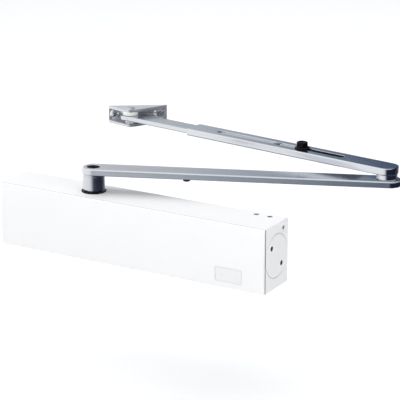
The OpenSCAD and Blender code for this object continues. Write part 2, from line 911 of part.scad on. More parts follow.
module bracket_pin() {
  color(steel) in_bracket() {
    translate([0, 0, bracket_z - rivet_t]) cylinder(h = plate_h + 2 * rivet_t, r = pivot_r);
    translate([0, 0, bracket_top]) cylinder(h = rivet_t, r1 = rivet_r, r2 = rivet_r - 0.8);
    translate([0, 0, bracket_z - rivet_t]) cylinder(h = rivet_t, r1 = rivet_r - 0.8, r2 = rivet_r);
  }
}

module bracket_bushes() {
  low = bracket_z + plate_t;
  high = rod_z + rod_t + bush_gap;
  color(nylon) in_bracket() {
    ring(low_bush_out_r, pivot_r + eps, low, rod_z - bush_gap - low);
    ring(bush_out_r, pivot_r + eps, high, bracket_top - plate_t - high);
  }
}

// Raised countersunk wood screws with cross recesses, standing in the plate
module bracket_screws() {
  color(steel) in_bracket() bracket_screw_places() difference() {
    union() {
      translate([0, 0, 0.05]) cylinder(h = 2.2, r1 = bracket_screw_head_r, r2 = bracket_screw_r);
      translate([0, 0, -bracket_screw_dome])
        cylinder(h = bracket_screw_dome + 0.05 + eps, r1 = 2.6, r2 = bracket_screw_head_r);
      cylinder(h = bracket_screw_l - 4, r = bracket_screw_r, $fn = 24);
      translate([0, 0, bracket_screw_l - 4]) cylinder(h = 4, r1 = bracket_screw_r, r2 = 0.3, $fn = 24);
    }
    for (turn = [45, 135])
      rotate([0, 0, turn]) translate([-2.7, -0.55, -bracket_screw_dome - 1]) cube([5.4, 1.1, 3.1]);
  }
}

housing();
front_cover();
badge();
left_plug();
right_plug();
plug_o_rings();
passage_ball_left();
passage_ball_right();
closing_speed_valve();
latching_speed_valve();
closing_valve_o_ring();
latching_valve_o_ring();
spindle();
spindle_collar();
spindle_seals();
upper_bearing();
upper_needles();
lower_bearing();
lower_needles();
lower_cap();
piston();
piston_seal();
check_ball();
check_retainer();
closing_spring();
inner_spring();
arm_hub();
main_arm();
arm_screw();
arm_stud();
elbow_bush();
elbow_washer();
elbow_pin();
forearm_sleeve();
forearm_rod();
clamp_screw();
bracket();
bracket_pin();
bracket_bushes();
bracket_screws();
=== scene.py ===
"""Surface-mounted door closer with an adjustable folding arm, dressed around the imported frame.

Shapes are written in millimetres, in local frames taken from the frame's own joints, and placed in metres.
"""

import json
import math

import bmesh
import bpy
from mathutils import Matrix, Vector

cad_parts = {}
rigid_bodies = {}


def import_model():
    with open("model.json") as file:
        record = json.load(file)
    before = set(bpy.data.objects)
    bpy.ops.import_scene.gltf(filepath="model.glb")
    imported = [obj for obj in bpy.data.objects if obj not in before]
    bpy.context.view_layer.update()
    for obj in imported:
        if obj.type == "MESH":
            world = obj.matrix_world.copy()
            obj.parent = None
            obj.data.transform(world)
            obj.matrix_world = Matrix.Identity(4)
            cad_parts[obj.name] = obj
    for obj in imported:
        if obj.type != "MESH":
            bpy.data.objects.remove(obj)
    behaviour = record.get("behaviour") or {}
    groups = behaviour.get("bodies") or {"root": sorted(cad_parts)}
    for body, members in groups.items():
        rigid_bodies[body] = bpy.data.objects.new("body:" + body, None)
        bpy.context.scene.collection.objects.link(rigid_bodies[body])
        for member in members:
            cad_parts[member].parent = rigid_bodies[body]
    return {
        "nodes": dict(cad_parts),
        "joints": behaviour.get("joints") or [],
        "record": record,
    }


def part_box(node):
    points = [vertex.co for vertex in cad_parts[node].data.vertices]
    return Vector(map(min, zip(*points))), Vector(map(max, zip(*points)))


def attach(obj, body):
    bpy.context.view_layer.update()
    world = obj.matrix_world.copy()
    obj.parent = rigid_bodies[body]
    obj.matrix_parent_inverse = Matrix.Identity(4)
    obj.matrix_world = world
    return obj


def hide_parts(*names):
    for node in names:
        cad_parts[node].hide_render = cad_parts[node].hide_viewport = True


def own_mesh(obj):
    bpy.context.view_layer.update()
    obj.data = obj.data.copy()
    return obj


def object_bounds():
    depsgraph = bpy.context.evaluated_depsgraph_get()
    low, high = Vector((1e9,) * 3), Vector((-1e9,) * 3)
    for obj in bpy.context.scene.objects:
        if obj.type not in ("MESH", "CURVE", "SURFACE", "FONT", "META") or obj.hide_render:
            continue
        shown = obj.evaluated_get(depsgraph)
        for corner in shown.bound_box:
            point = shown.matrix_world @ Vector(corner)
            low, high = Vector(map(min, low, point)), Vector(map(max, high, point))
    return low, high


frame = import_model()
cad_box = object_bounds()

# ---------- what the frame says ----------

MM = 0.001
record = frame["record"]
joints = {joint["name"]: joint for joint in frame["joints"]}
body_of = {
    node: body
    for body, nodes in record["behaviour"]["bodies"].items()
    for node in nodes
}
spindle_pos = Vector(joints["spindle_turn"]["pos_m"])
elbow_pos = Vector(joints["elbow_fold"]["pos_m"])
pivot_pos = Vector(joints["bracket_swivel"]["pos_m"])
clamp_pos = Vector(joints["clamp_turn"]["pos_m"])
main_direction = elbow_pos - spindle_pos
fore_direction = Vector(joints["forearm_length"]["axis"])
seat_normal = next(Vector(m["axis"]) for m in record["mounts"] if m["name"] == "bracket_seat")


def local_frame(origin=(0, 0), along=(1, 0)):
    """Millimetres, with the origin at a point of the row frame's XY plane and +X pointing along."""
    turn = Matrix.Rotation(math.atan2(along[1], along[0]), 4, "Z")
    return Matrix.Translation((origin[0], origin[1], 0)) @ turn @ Matrix.Scale(MM, 4)


BODY = local_frame()
SPINDLE = local_frame(spindle_pos)
ARM = local_frame(spindle_pos, main_direction)
FOREARM = local_frame(elbow_pos, fore_direction)
BRACKET = local_frame(pivot_pos, (seat_normal.y, -seat_normal.x))


def span(node, axis="z"):
    """Lowest and highest millimetre of a CAD node along a row axis."""
    low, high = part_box(node)
    return getattr(low, axis) / MM, getattr(high, axis) / MM


# ---------- outlines and profiles, in the plane ----------

def arc(centre, radius, start, end, steps):
    """Points on an arc, from one angle to another in degrees."""
    turn = [math.radians(start + (end - start) * i / steps) for i in range(steps + 1)]
    return [(centre[0] + radius * math.cos(a), centre[1] + radius * math.sin(a)) for a in turn]


def rounded(points, radii, steps=4):
    """A closed polygon with rounded corners. radii is one radius, or one for each corner."""
    made = []
    for i, corner in enumerate(points):
        radius = radii[i] if isinstance(radii, (list, tuple)) else radii
        here = Vector(corner)
        back = Vector(points[i - 1]) - here
        ahead = Vector(points[(i + 1) % len(points)]) - here
        if radius <= 0 or min(back.length, ahead.length) < 1e-6:
            made.append(tuple(here))
            continue
        half = back.angle(ahead) / 2
        reach = min(radius / math.tan(half), 0.49 * back.length, 0.49 * ahead.length)
        first = here + back.normalized() * reach
        last = here + ahead.normalized() * reach
        middle = here + (back.normalized() + ahead.normalized()).normalized() * reach / math.cos(half)
        start = first - middle
        sweep = start.angle_signed(last - middle)
        for k in range(steps + 1):
            a = -sweep * k / steps
            made.append((
                middle.x + start.x * math.cos(a) - start.y * math.sin(a),
                middle.y + start.x * math.sin(a) + start.y * math.cos(a),
            ))
    return made


def rectangle(x0, x1, y0, y1, radius=0.0, steps=6):
    """Outline of a rounded rectangle, as a function of how far it is inset."""
    def outline(inset):
        r = max(radius - inset, 0.02)
        x, y, u, v = x0 + inset, y0 + inset, x1 - inset, y1 - inset
        return [
            *arc((u - r, y + r), r, -90, 0, steps),
            *arc((u - r, v - r), r, 0, 90, steps),
            *arc((x + r, v - r), r, 90, 180, steps),
            *arc((x + r, y + r), r, 180, 270, steps),
        ]
    return outline


def hexagon(flat):
    """Corners of a hexagon, flat to flat across."""
    reach = flat / 2 / math.cos(math.radians(30))
    turns = [math.radians(60 * i) for i in range(6)]
    return [(reach * math.cos(a), reach * math.sin(a)) for a in turns]


def stadium(x0, x1, half, steps=28):
    """Outline of a bar with round ends centred at x0 and x1."""
    def outline(inset):
        r = half - inset
        return [*arc((x1, 0), r, -90, 90, steps), *arc((x0, 0), r, 90, 270, steps)]
    return outline


def eased(low, high, r_low, r_high, steps=4, deep=0.0):
    """How far an outline is inset at each height, for a slab with rounded lower and upper edges."""
    half_turn = [math.pi / 2 * i / steps for i in range(steps + 1)]
    rise = [(r_low * (1 - math.sin(a)), low + r_low * (1 - math.cos(a))) for a in half_turn]
    fall = [(r_high * (1 - math.cos(a)), high - r_high * (1 - math.sin(a))) for a in half_turn]
    core = [(max(r_low, deep), low)] if deep else []
    top = [(max(r_high, deep), high)] if deep else []
    return core + rise + fall + top


# ---------- solids ----------

def joined(bm, rings, closed=False):
    """Skins rings of equally many points, with a cap at each end unless the rings close on themselves."""
    rows = [[bm.verts.new(point) for point in ring] for ring in rings]
    pairs = list(zip(rows, rows[1:]))
    if closed:
        pairs.append((rows[-1], rows[0]))
    for low, high in pairs:
        for i in range(len(low)):
            j = (i + 1) % len(low)
            bm.faces.new((low[i], low[j], high[j], high[i]))
    if not closed:
        bm.faces.new(list(reversed(rows[0])))
        bm.faces.new(rows[-1])


def solid(rings, closed=False):
    """An object whose closed mesh is skinned from rings."""
    bm = bmesh.new()
    joined(bm, rings, closed)
    bmesh.ops.remove_doubles(bm, verts=bm.verts, dist=1e-5)
    bmesh.ops.recalc_face_normals(bm, faces=bm.faces)
    mesh = bpy.data.meshes.new("solid")
    bm.to_mesh(mesh)
    bm.free()
    made = bpy.data.objects.new("solid", mesh)
    bpy.context.scene.collection.objects.link(made)
    return made


def prism(outline, profile, axis="z"):
    """A slab whose outline is inset as its profile says. axis is the slab's thickness direction."""
    def point(u, v, w):
        return {"z": (u, v, w), "x": (w, u, v), "y": (u, w, v)}[axis]
    return solid([[point(u, v, w) for u, v in outline(inset)] for inset, w in profile])


def lathe(profile, steps=72):
    """A solid of revolution about Z, from a closed profile of (radius, height) points."""
    turns = [2 * math.pi * i / steps for i in range(steps)]
    return solid([[(r * math.cos(a), r * math.sin(a), z) for r, z in profile] for a in turns], closed=True)


def drill(radius, low, high, flare=0.25, mouths=(False, True), steps=48):
    """A cutter for a round hole along Z. A mouth is a countersunk edge at that end of the hole."""
    wide = radius + flare
    below, above = [(0, low), (radius, low)], [(radius, high), (0, high)]
    if mouths[0]:
        below = [(0, low - 1), (wide, low - 1), (wide, low), (radius, low + flare)]
    if mouths[1]:
        above = [(radius, high - flare), (wide, high), (wide, high + 1), (0, high + 1)]
    return lathe(below + above, steps)


def bore(radius, low, high, steps=24):
    """A cutter for a plain round hole along Z."""
    return drill(radius, low, high, mouths=(False, False), steps=steps)


def moved(thing, offset=(0, 0, 0), turn=0.0, about="Z"):
    """Turns a solid's mesh about an axis through the origin, then moves it."""
    thing.data.transform(Matrix.Translation(offset) @ Matrix.Rotation(math.radians(turn), 4, about))
    return thing


def along_x(thing, offset=(0, 0, 0)):
    """A solid made along Z, laid along +X."""
    return moved(thing, offset, 90, "Y")


def along_y(thing, offset=(0, 0, 0)):
    """A solid made along Z, laid along +Y."""
    return moved(thing, offset, -90, "X")


def flipped(thing):
    """Mirrors a solid end for end along the body."""
    thing.data.transform(Matrix.Scale(-1, 4, (1, 0, 0)))
    thing.data.flip_normals()
    return thing


def bake_modifiers(thing):
    """Replaces a solid's mesh by what its modifiers make of it."""
    graph = bpy.context.evaluated_depsgraph_get()
    mesh = bpy.data.meshes.new_from_object(thing.evaluated_get(graph))
    thing.modifiers.clear()
    thing.data = mesh
    return thing


def boolean(base, tools, operation="DIFFERENCE"):
    """Cuts the tools out of a solid, or joins them to it, and removes them."""
    for tool in tools:
        change = base.modifiers.new("boolean", "BOOLEAN")
        change.operation = operation
        change.solver = "EXACT"
        change.object = tool
    bake_modifiers(base)
    for tool in tools:
        bpy.data.objects.remove(tool)
    return base


def cut(base, *tools):
    return boolean(base, tools)


def fuse(base, *tools):
    return boolean(base, tools, "UNION")


def keep_inside(base, tool):
    return boolean(base, [tool], "INTERSECT")


def ease_edges(thing, width, angle):
    """Rounds the sharp edges that cutting has left."""
    bevel = thing.modifiers.new("ease", "BEVEL")
    bevel.width = width
    bevel.segments = 2
    bevel.limit_method = "ANGLE"
    bevel.angle_limit = math.radians(angle)
    bevel.use_clamp_overlap = True
    bevel.miter_outer = "MITER_ARC"
    return bake_modifiers(thing)


def stand_for(thing, node, place, material, angle=32):
    """Puts a finished solid in place of a CAD node."""
    thing.name = node + "_shape"
    thing.data.name = thing.name
    thing.data.transform(place)
    thing.data.shade_smooth()
    thing.data.set_sharp_from_angle(angle=math.radians(angle))
    thing.data.materials.clear()
    thing.data.materials.append(material)
    even = thing.modifiers.new("even_normals", "WEIGHTED_NORMAL")
    even.keep_sharp = True
    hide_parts(node)
    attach(thing, body_of[node])
    return thing


# Name of the face attribute that carries painted shade for holes and seams
SHADE_MARK = "unpainted"


def mark_painted_shade(thing, shade_amount):
    """Marks faces for painted shade in holes and seams, from 0 for none to 1 for dark."""
    mark = thing.data.attributes.new(SHADE_MARK, "FLOAT", "FACE")
    mark.data.foreach_set("value", [float(shade_amount(face)) for face in thing.data.polygons])
    return thing


# ---------- materials ----------

def add_node(tree, kind, settings=None, **inputs):
    """Adds a node. An input that is another node's output is linked, and any other value is set."""
    made = tree.nodes.new(kind)
    for name, value in (settings or {}).items():
        setattr(made, name, value)
    for name, value in inputs.items():
        socket = made.inputs[int(name[1:])] if name[0] == "_" else made.inputs[name.replace("_", " ")]
        if isinstance(value, bpy.types.NodeSocket):
            tree.links.new(value, socket)
        else:
            socket.default_value = value
    return made


class Shader:
    """A material's node tree around one Principled BSDF. Coordinates are metres in the row frame."""

    def __init__(self, name, **surface):
        self.material = bpy.data.materials.new(name)
        self.material.use_nodes = True
        self.tree = self.material.node_tree
        self.surface = self.tree.nodes["Principled BSDF"]
        coordinates = self.tree.nodes.new("ShaderNodeTexCoord")
        self.place = coordinates.outputs["Object"]
        self.facing = coordinates.outputs["Normal"]
        for socket, value in surface.items():
            self.surface.inputs[socket.replace("_", " ")].default_value = value

    def node(self, kind, settings=None, **inputs):
        return add_node(self.tree, kind, settings, **inputs)

    def along(self, direction, stretch):
        """Coordinates turned so that X runs along direction, and squeezed by stretch along it."""
        angle = math.atan2(direction[1], direction[0])
        turned = self.node("ShaderNodeVectorRotate", {"rotation_type": "Z_AXIS"},
                           Vector=self.place, Angle=-angle)
        return self.node("ShaderNodeVectorMath", {"operation": "MULTIPLY"},
                         _0=turned.outputs[0], _1=(1 / stretch, 1, 1)).outputs[0]

    def noise(self, scale, detail=2.0, vector=None, rough=0.5):
        return self.node("ShaderNodeTexNoise", Vector=vector or self.place, Scale=scale,
                         Detail=detail, Roughness=rough).outputs["Fac"]

    def cells(self, scale):
        return self.node("ShaderNodeTexVoronoi", Vector=self.place, Scale=scale).outputs["Color"]

    def remap(self, value, low, high, into_low, into_high):
        return self.node("ShaderNodeMapRange", _0=value, _1=low, _2=high,
                         _3=into_low, _4=into_high).outputs[0]

    def blend(self, factor, first, second):
        made = self.node("ShaderNodeMix", {"data_type": "RGBA"}, _0=factor, _6=first, _7=second)
        return made.outputs[2]

    def math(self, operation, a, b):
        return self.node("ShaderNodeMath", {"operation": operation}, _0=a, _1=b).outputs[0]

    def worn_edges(self):
        """From 0 on faces to 1 on outer edges."""
        return self.remap(self.node("ShaderNodeNewGeometry").outputs["Pointiness"], 0.53, 0.62, 0, 1)

    def shade_amount(self):
        """The painted shade marked on the faces, or 0 where nothing is marked."""
        return self.node("ShaderNodeAttribute", {"attribute_name": SHADE_MARK}).outputs["Fac"]

    def bump(self, height, distance, strength=1.0, under=None):
        made = self.node("ShaderNodeBump", Height=height, Distance=distance, Strength=strength)
        if under is not None:
            self.tree.links.new(under, made.inputs["Normal"])
        return made.outputs[0]

    def set(self, **inputs):
        for name, value in inputs.items():
            self.tree.links.new(value, self.surface.inputs[name.replace("_", " ")])
        return self.material


def powder_coat(name, tint, shadow, peel=1.0, roughness=0.42):
    """Baked powder coat: orange-peel skin, faint clouding, a duller film where it thins on edges."""
    s = Shader(name, IOR=1.5)
    cloud = s.noise(22, 3)
    fine = s.noise(1500, 2)
    colour = s.blend(s.remap(cloud, 0.3, 0.7, 0, 0.35), (*tint, 1), (*shadow, 1))
    speck = s.remap(s.noise(5200, 1), 0.66, 0.74, 0, 0.12)
    colour = s.blend(speck, colour, (*[0.86 * c for c in tint], 1))
    colour = s.blend(s.math("MULTIPLY", s.worn_edges(), 0.25), colour, (*[0.9 * c for c in tint], 1))
    # Painted shade: faces marked for it go near-black, for dark holes and seam lines
    colour = s.blend(s.shade_amount(), colour, (0.02, 0.02, 0.022, 1))
    skin = s.bump(fine, 0.00002 * peel, 0.55, s.bump(s.noise(420, 1), 0.00005 * peel, 0.35))
    gloss = s.remap(s.noise(180, 3), 0.3, 0.7, roughness - 0.05, roughness + 0.07)
    return s.set(Base_Color=colour, Roughness=gloss, Normal=skin)


def silver_lacquer(name, tint, direction, roughness=0.2, streak=0.5, metallic=1.0):
    """Silver stove lacquer over drawn steel: fine flake, faint lines along the bar, brighter edges."""
    s = Shader(name, Metallic=metallic, IOR=1.6)
    lines = s.noise(900, 3, s.along(direction, 60), 0.6)
    end_on = s.math("ABSOLUTE", s.node("ShaderNodeVectorMath", {"operation": "DOT_PRODUCT"},
                    _0=s.facing, _1=(direction[0], direction[1], 0)).outputs["Value"], 0)
    lines = s.math("ADD", s.math("MULTIPLY", lines, s.remap(end_on, 0.3, 0.7, 1, 0)),
                   s.remap(end_on, 0.3, 0.7, 0, 0.5))
    flake = s.cells(5200)
    grey = s.node("ShaderNodeRGBToBW", Color=flake).outputs[0]
    colour = s.blend(s.remap(grey, 0, 1, 0, 0.16), (*tint, 1), (*[min(1, 1.3 * c) for c in tint], 1))
    colour = s.blend(s.remap(lines, 0.35, 0.65, 0, 0.1), colour, (*[0.82 * c for c in tint], 1))
    colour = s.blend(s.math("MULTIPLY", s.worn_edges(), 0.4), colour, (0.82, 0.84, 0.87, 1))
    # Painted shade: faces marked for it go near-black, for the slot, notches and spare hole
    colour = s.blend(s.shade_amount(), colour, (0.03, 0.035, 0.045, 1))
    gloss = s.math("ADD", s.remap(lines, 0.3, 0.7, -0.03, 0.04), s.remap(s.noise(60, 3), 0.3, 0.7,
                   roughness - 0.02, roughness + 0.03))
    skin = s.bump(lines, 0.000012, streak, s.bump(grey, 0.000004, 0.4))
    return s.set(Base_Color=colour, Roughness=gloss, Normal=skin)


def turned_steel(name, tint, roughness=0.25, mottle=0.12, squeeze=(1, 1, 6), metallic=1.0):
    """Bright zinc-plated or ground steel: fine machining lines across Z, slight mottling."""
    s = Shader(name, Metallic=metallic, IOR=2.5)
    squeezed = s.node("ShaderNodeVectorMath", {"operation": "MULTIPLY"}, _0=s.place, _1=squeeze)
    lines = s.noise(1400, 2, squeezed.outputs[0], 0.6)
    patch = s.noise(240, 3)
    colour = s.blend(s.remap(patch, 0.35, 0.65, 0, mottle), (*tint, 1), (0.5, 0.54, 0.62, 1))
    colour = s.blend(s.remap(lines, 0.4, 0.7, 0, 0.15), colour, (*[0.75 * c for c in tint], 1))
    gloss = s.remap(patch, 0.3, 0.7, roughness - 0.05, roughness + 0.08)
    return s.set(Base_Color=colour, Roughness=gloss, Normal=s.bump(lines, 0.000006, 0.6))


def dark_finish(name, tint, roughness, metallic=0.0, grain=1800, rubbed=0.3, shine=0.5):
    """Black oxide, black plastic or spring wire: near-black with a fine grain and rubbed edges."""
    s = Shader(name, Metallic=metallic, IOR=1.5, Specular_IOR_Level=shine)
    patch = s.noise(160, 3)
    lighter = (*[1.8 * c + 0.004 for c in tint], 1)
    colour = s.blend(s.remap(patch, 0.3, 0.7, 0, 0.5), (*tint, 1), lighter)
    colour = s.blend(s.math("MULTIPLY", s.worn_edges(), rubbed), colour, (0.12, 0.12, 0.13, 1))
    gloss = s.remap(s.noise(500, 2), 0.3, 0.7, roughness - 0.05, roughness + 0.08)
    return s.set(Base_Color=colour, Roughness=gloss, Normal=s.bump(s.noise(grain, 2), 0.00001, 0.4))


def moulded_nylon(name, tint):
    """Natural nylon: fine sparkle texture, faint flow clouding."""
    s = Shader(name, IOR=1.53)
    cloud = s.noise(350, 3)
    colour = s.blend(s.remap(cloud, 0.3, 0.7, 0, 0.4), (*tint, 1), (*[0.93 * c for c in tint], 1))
    gloss = s.remap(s.noise(900, 2), 0.3, 0.7, 0.32, 0.46)
    return s.set(Base_Color=colour, Roughness=gloss, Normal=s.bump(s.noise(2600, 1), 0.000012, 0.5))


def sintered_bronze(name):
    """Oil-filled bronze: warm metal with fine open pores."""
    s = Shader(name, Metallic=1.0, IOR=2.0)
    pores = s.remap(s.noise(3800, 2), 0.58, 0.68, 0, 1)
    colour = s.blend(pores, (0.58, 0.38, 0.19, 1), (0.2, 0.12, 0.06, 1))
    colour = s.blend(s.remap(s.noise(200, 3), 0.4, 0.7, 0, 0.4), colour, (0.42, 0.29, 0.17, 1))
    return s.set(Base_Color=colour, Roughness=s.remap(pores, 0, 1, 0.38, 0.7),
                 Normal=s.bump(pores, -0.00002, 0.5))


WHITE = (0.80, 0.80, 0.80)
LACQUER = (0.70, 0.72, 0.755)
coat = powder_coat("white_coat", WHITE, (0.77, 0.772, 0.775))
cover_coat = powder_coat("cover_coat", (0.83, 0.83, 0.83), (0.80, 0.802, 0.805), peel=0.7, roughness=0.38)
badge_coat = powder_coat("badge_coat", (0.79, 0.79, 0.79), (0.75, 0.75, 0.75), peel=0.4, roughness=0.33)
arm_lacquer = silver_lacquer("arm_lacquer", LACQUER, main_direction)
forearm_lacquer = silver_lacquer("forearm_lacquer", LACQUER, fore_direction)
hub_lacquer = silver_lacquer("hub_lacquer", LACQUER, main_direction, roughness=0.34, streak=0.05)
bracket_lacquer = silver_lacquer("bracket_lacquer", (0.66, 0.675, 0.7), (-seat_normal.y, seat_normal.x),
                                 roughness=0.28, metallic=0.7)
bright_steel = turned_steel("bright_steel", (0.68, 0.69, 0.71))
zinc = turned_steel("zinc", (0.86, 0.87, 0.89), roughness=0.2, mottle=0.1, metallic=0.85)
bearing_steel = turned_steel("bearing_steel", (0.6, 0.6, 0.62), roughness=0.16, mottle=0.05)
piston_steel = turned_steel("piston_steel", (0.5, 0.5, 0.52), roughness=0.33, mottle=0.3, squeeze=(6, 1, 1))
spring_steel = dark_finish("spring_steel", (0.09, 0.09, 0.095), 0.36, metallic=0.8)
black_oxide = dark_finish("black_oxide", (0.002, 0.002, 0.003), 0.28, grain=2400, rubbed=0.03, shine=0.1)
gloss_black = dark_finish("gloss_black", (0.003, 0.003, 0.004), 0.2, grain=600, rubbed=0.0, shine=0.12)
cap_black = dark_finish("cap_black", (0.02, 0.02, 0.022), 0.42, grain=1600)
seal_rubber = dark_finish("seal_rubber", (0.012, 0.012, 0.013), 0.62, grain=3000)
white_nylon = moulded_nylon("white_nylon", (0.84, 0.84, 0.82))
bronze = sintered_bronze("bronze")

# ---------- body ----------

FRONT_Y, back_y = span("housing", "y")
BORE_Y = (FRONT_Y + back_y) / 2
END_X = span("housing", "x")[1]
TOP_Z = span("housing", "z")[1]
EDGE = 1.2
FRONT_EDGE = 0.3
BORE_R = 18
PLUG_SEAT_R = 20.3
PLUG_SEAT_T = 3.1
PLUG_THREAD_R = 19.02
SEAT_TOP_R = 11
SEAT_LOW_R = 12.1
VALVE_HOLE_R = 2.4
PASSAGE_R = 1
PASSAGE_MOUTH_R = 2
FIX_HEAD_R = 5
VALVES = [(joints[n]["pos_m"][0] / MM, joints[n]["pos_m"][1] / MM)
          for n in ("closing_valve_turn", "latching_valve_turn")]
fixing = next(m for m in record["mounts"] if m["name"] == "body_fixing")["dims"]
FIX_PLACES = [(x * fixing["spacing_x_mm"] / 2, z * fixing["spacing_y_mm"] / 2)
              for x in (-1, 1) for z in (-1, 1)]
HOOKS = [(x, z) for x in (-125, -62, 0, 62, 125) for z in (-21, 21)]
BALLS = {node: tuple(sum(span(node, axis)) / 2 for axis in "xyz")
         for node in ("passage_ball_left", "passage_ball_right")}


def housing_outline(inset):
    """Section across the body: long back edges rounded, front edges just broken."""
    y, z = -inset, TOP_Z - inset
    return [
        *arc((y - EDGE, z - EDGE), EDGE, 90, 0, 6),
        *arc((y - EDGE, -z + EDGE), EDGE, 0, -90, 6),
        (FRONT_Y + inset + FRONT_EDGE, -z),
        (FRONT_Y + inset, -z + FRONT_EDGE),
        (FRONT_Y + inset, z - FRONT_EDGE),
        (FRONT_Y + inset + FRONT_EDGE, z),
    ]


def make_housing():
    block = prism(housing_outline, eased(-END_X, END_X, 0.45, 0.45, 3), "x")
    on_axis = (0, BORE_Y, 0)
    tools = [along_x(bore(BORE_R, -END_X - 1, END_X + 1, 96), on_axis)]
    for at_left in (True, False):
        for tool in (drill(PLUG_SEAT_R, END_X - PLUG_SEAT_T, END_X, 0.3, steps=96),
                     bore(PLUG_THREAD_R, END_X - 8, END_X - 1, 72)):
            along_x(tool, on_axis)
            tools.append(flipped(tool) if at_left else tool)
    at_spindle = (spindle_pos.x / MM, spindle_pos.y / MM, 0)
    tools.append(moved(drill(SEAT_TOP_R, 0, TOP_Z, 0.25, steps=72), at_spindle))
    tools.append(moved(drill(SEAT_LOW_R, -TOP_Z, 0, 0.25, (True, False), 72), at_spindle))
    for x, y in VALVES:
        tools.append(moved(drill(VALVE_HOLE_R, 18.5, TOP_Z, 0.35, steps=32), (x, y, 0)))
        tools.append(moved(bore(1.6, 15, 20), (x, y, 0)))
        tools.append(moved(bore(PASSAGE_R, 6, 16, 20), (x, y, 0)))
    _, y, z = BALLS["passage_ball_right"]
    tools.append(along_x(drill(PASSAGE_MOUTH_R, 111.5, END_X, 0.3, steps=32), (0, y, z)))
    _, y, z = BALLS["passage_ball_left"]
    tools.append(along_x(drill(PASSAGE_MOUTH_R, -END_X, 127, 0.3, (True, False), 32), (0, y, z)))
    tools.append(moved(bore(PASSAGE_R, 5, z, 20), (-120, y, 0)))
    for x, z in FIX_PLACES:
        tools.append(along_y(drill(fixing["hole_r_mm"], FRONT_Y - 1, 0, 0.4, steps=32), (x, 0, z)))
        tools.append(along_y(drill(FIX_HEAD_R, FRONT_Y, FRONT_Y + 5, 0.3, (True, False), 40), (x, 0, z)))
    for x, z in HOOKS:
        tools.append(prism(rectangle(x - 8, x + 8, z - 1.4, z + 1.4, 0.6, 3),
                           [(0, FRONT_Y - 1), (0, FRONT_Y + 6)], "y"))
    relief = rectangle(-75, 75, -19, 19, 3, 6)
    tools.append(prism(relief, [(0.5, -0.8), (0, -0.3), (0, 1)], "y"))
    return cut(block, *tools)


def housing_shade_amount(face):
    """Painted shade: dark valve holes, passage mouth and end seams, and a grey shade over the front face
    under the cover, which darkens the seam line.
    """
    point = face.center
    _, y, z = BALLS["passage_ball_right"]
    if point.z < TOP_Z - 0.4 and any(math.hypot(point.x - x, point.y - y) < 2.5 for x, y in VALVES):
        return 0.75
    if abs(point.x) < END_X - 0.35 and math.hypot(point.y - y, point.z - z) < 2.1:
        return 0.5
    if point.y < FRONT_Y + 0.5 and abs(point.x) > END_X - 0.5:
        return 1
    return 0.6 if point.y < FRONT_Y + 0.31 else 0


stand_for(mark_painted_shade(make_housing(), housing_shade_amount), "housing", BODY, coat)

# Front cover: a thin crowned shell with closed ends, clip hooks behind it and a blank badge let into it
COVER_BACK = span("front_cover", "y")[1] - 4.8
COVER_FACE = span("front_cover", "y")[0]
COVER_T = 1.6
COVER_CROWN = 1.4
CROWN_HALF = TOP_Z - EDGE
CROWN_R = (CROWN_HALF ** 2 + COVER_CROWN ** 2) / (2 * COVER_CROWN)
badge_x, badge_z = span("badge", "x"), span("badge", "z")
BADGE_MID = (sum(badge_x) / 2, sum(badge_z) / 2)
BADGE_HALF = ((badge_x[1] - badge_x[0]) / 2, (badge_z[1] - badge_z[0]) / 2)


def crown_y(z, deep=0.0):
    """Where the cover's face lies at a height, or a surface deeper in it."""
    return COVER_FACE + CROWN_R - math.sqrt((CROWN_R - deep) ** 2 - z * z)


def cover_outline(inset, deep=0.0):
    """Section across the cover: crowned face, rounded long edges, flat back."""
    edge = EDGE - inset if not deep else 0.3
    z = TOP_Z - inset - deep
    turn_y = crown_y(z - edge, inset + deep) + edge
    back = COVER_BACK + (0.5 if deep else -0.6 * inset)
    crown = [(crown_y(h, inset + deep), h) for h in
             [(-1 + 2 * i / 36) * (z - edge) for i in range(1, 36)]]
    return [
        (back, z - 0.25),
        (back, -z + 0.25),
        (back - 0.25, -z),
        *arc((turn_y, -z + edge), edge, -90, -180, 6),
        *crown,
        *arc((turn_y, z - edge), edge, 180, 90, 6),
        (back - 0.25, z),
    ]


def clip_hook():
    """A spring tongue with a small barb on each side."""
    half = 0.7
    outline = rounded([
        (COVER_FACE + 1.2, -half), (COVER_BACK + 3.7, -half), (COVER_BACK + 4.1, -half - 0.4),
        (COVER_BACK + 4.8, -half + 0.3), (COVER_BACK + 4.8, half - 0.3), (COVER_BACK + 4.1, half + 0.4),
        (COVER_BACK + 3.7, half), (COVER_FACE + 1.2, half),
    ], 0.12, 2)
    return prism(lambda inset: outline, [(0, -7), (0, 7)], "x")


def at_badge(thing):
    """Lays a solid on the cover's face where the badge goes."""
    slope = math.degrees(math.asin(-BADGE_MID[1] / CROWN_R))
    return moved(thing, (BADGE_MID[0], crown_y(BADGE_MID[1]), BADGE_MID[1]), slope, "X")


def make_cover():
    shell = prism(cover_outline, eased(-END_X, END_X, 0.5, 0.5, 4), "x")
    inner_end = END_X - COVER_T
    hollow = prism(lambda inset: cover_outline(0, COVER_T), [(0, -inner_end), (0, inner_end)], "x")
    half_w, half_h = (half + 0.15 for half in BADGE_HALF)
    recess = prism(rectangle(-half_w, half_w, -half_h, half_h, 1.2, 5),
                   [(-0.4, -3), (-0.25, -0.1), (0, 0.25), (0, 0.85)], "y")
    cut(shell, hollow, at_badge(recess))
    hooks = [moved(clip_hook(), (x, 0, z)) for x, z in HOOKS]
    return fuse(shell, *hooks)


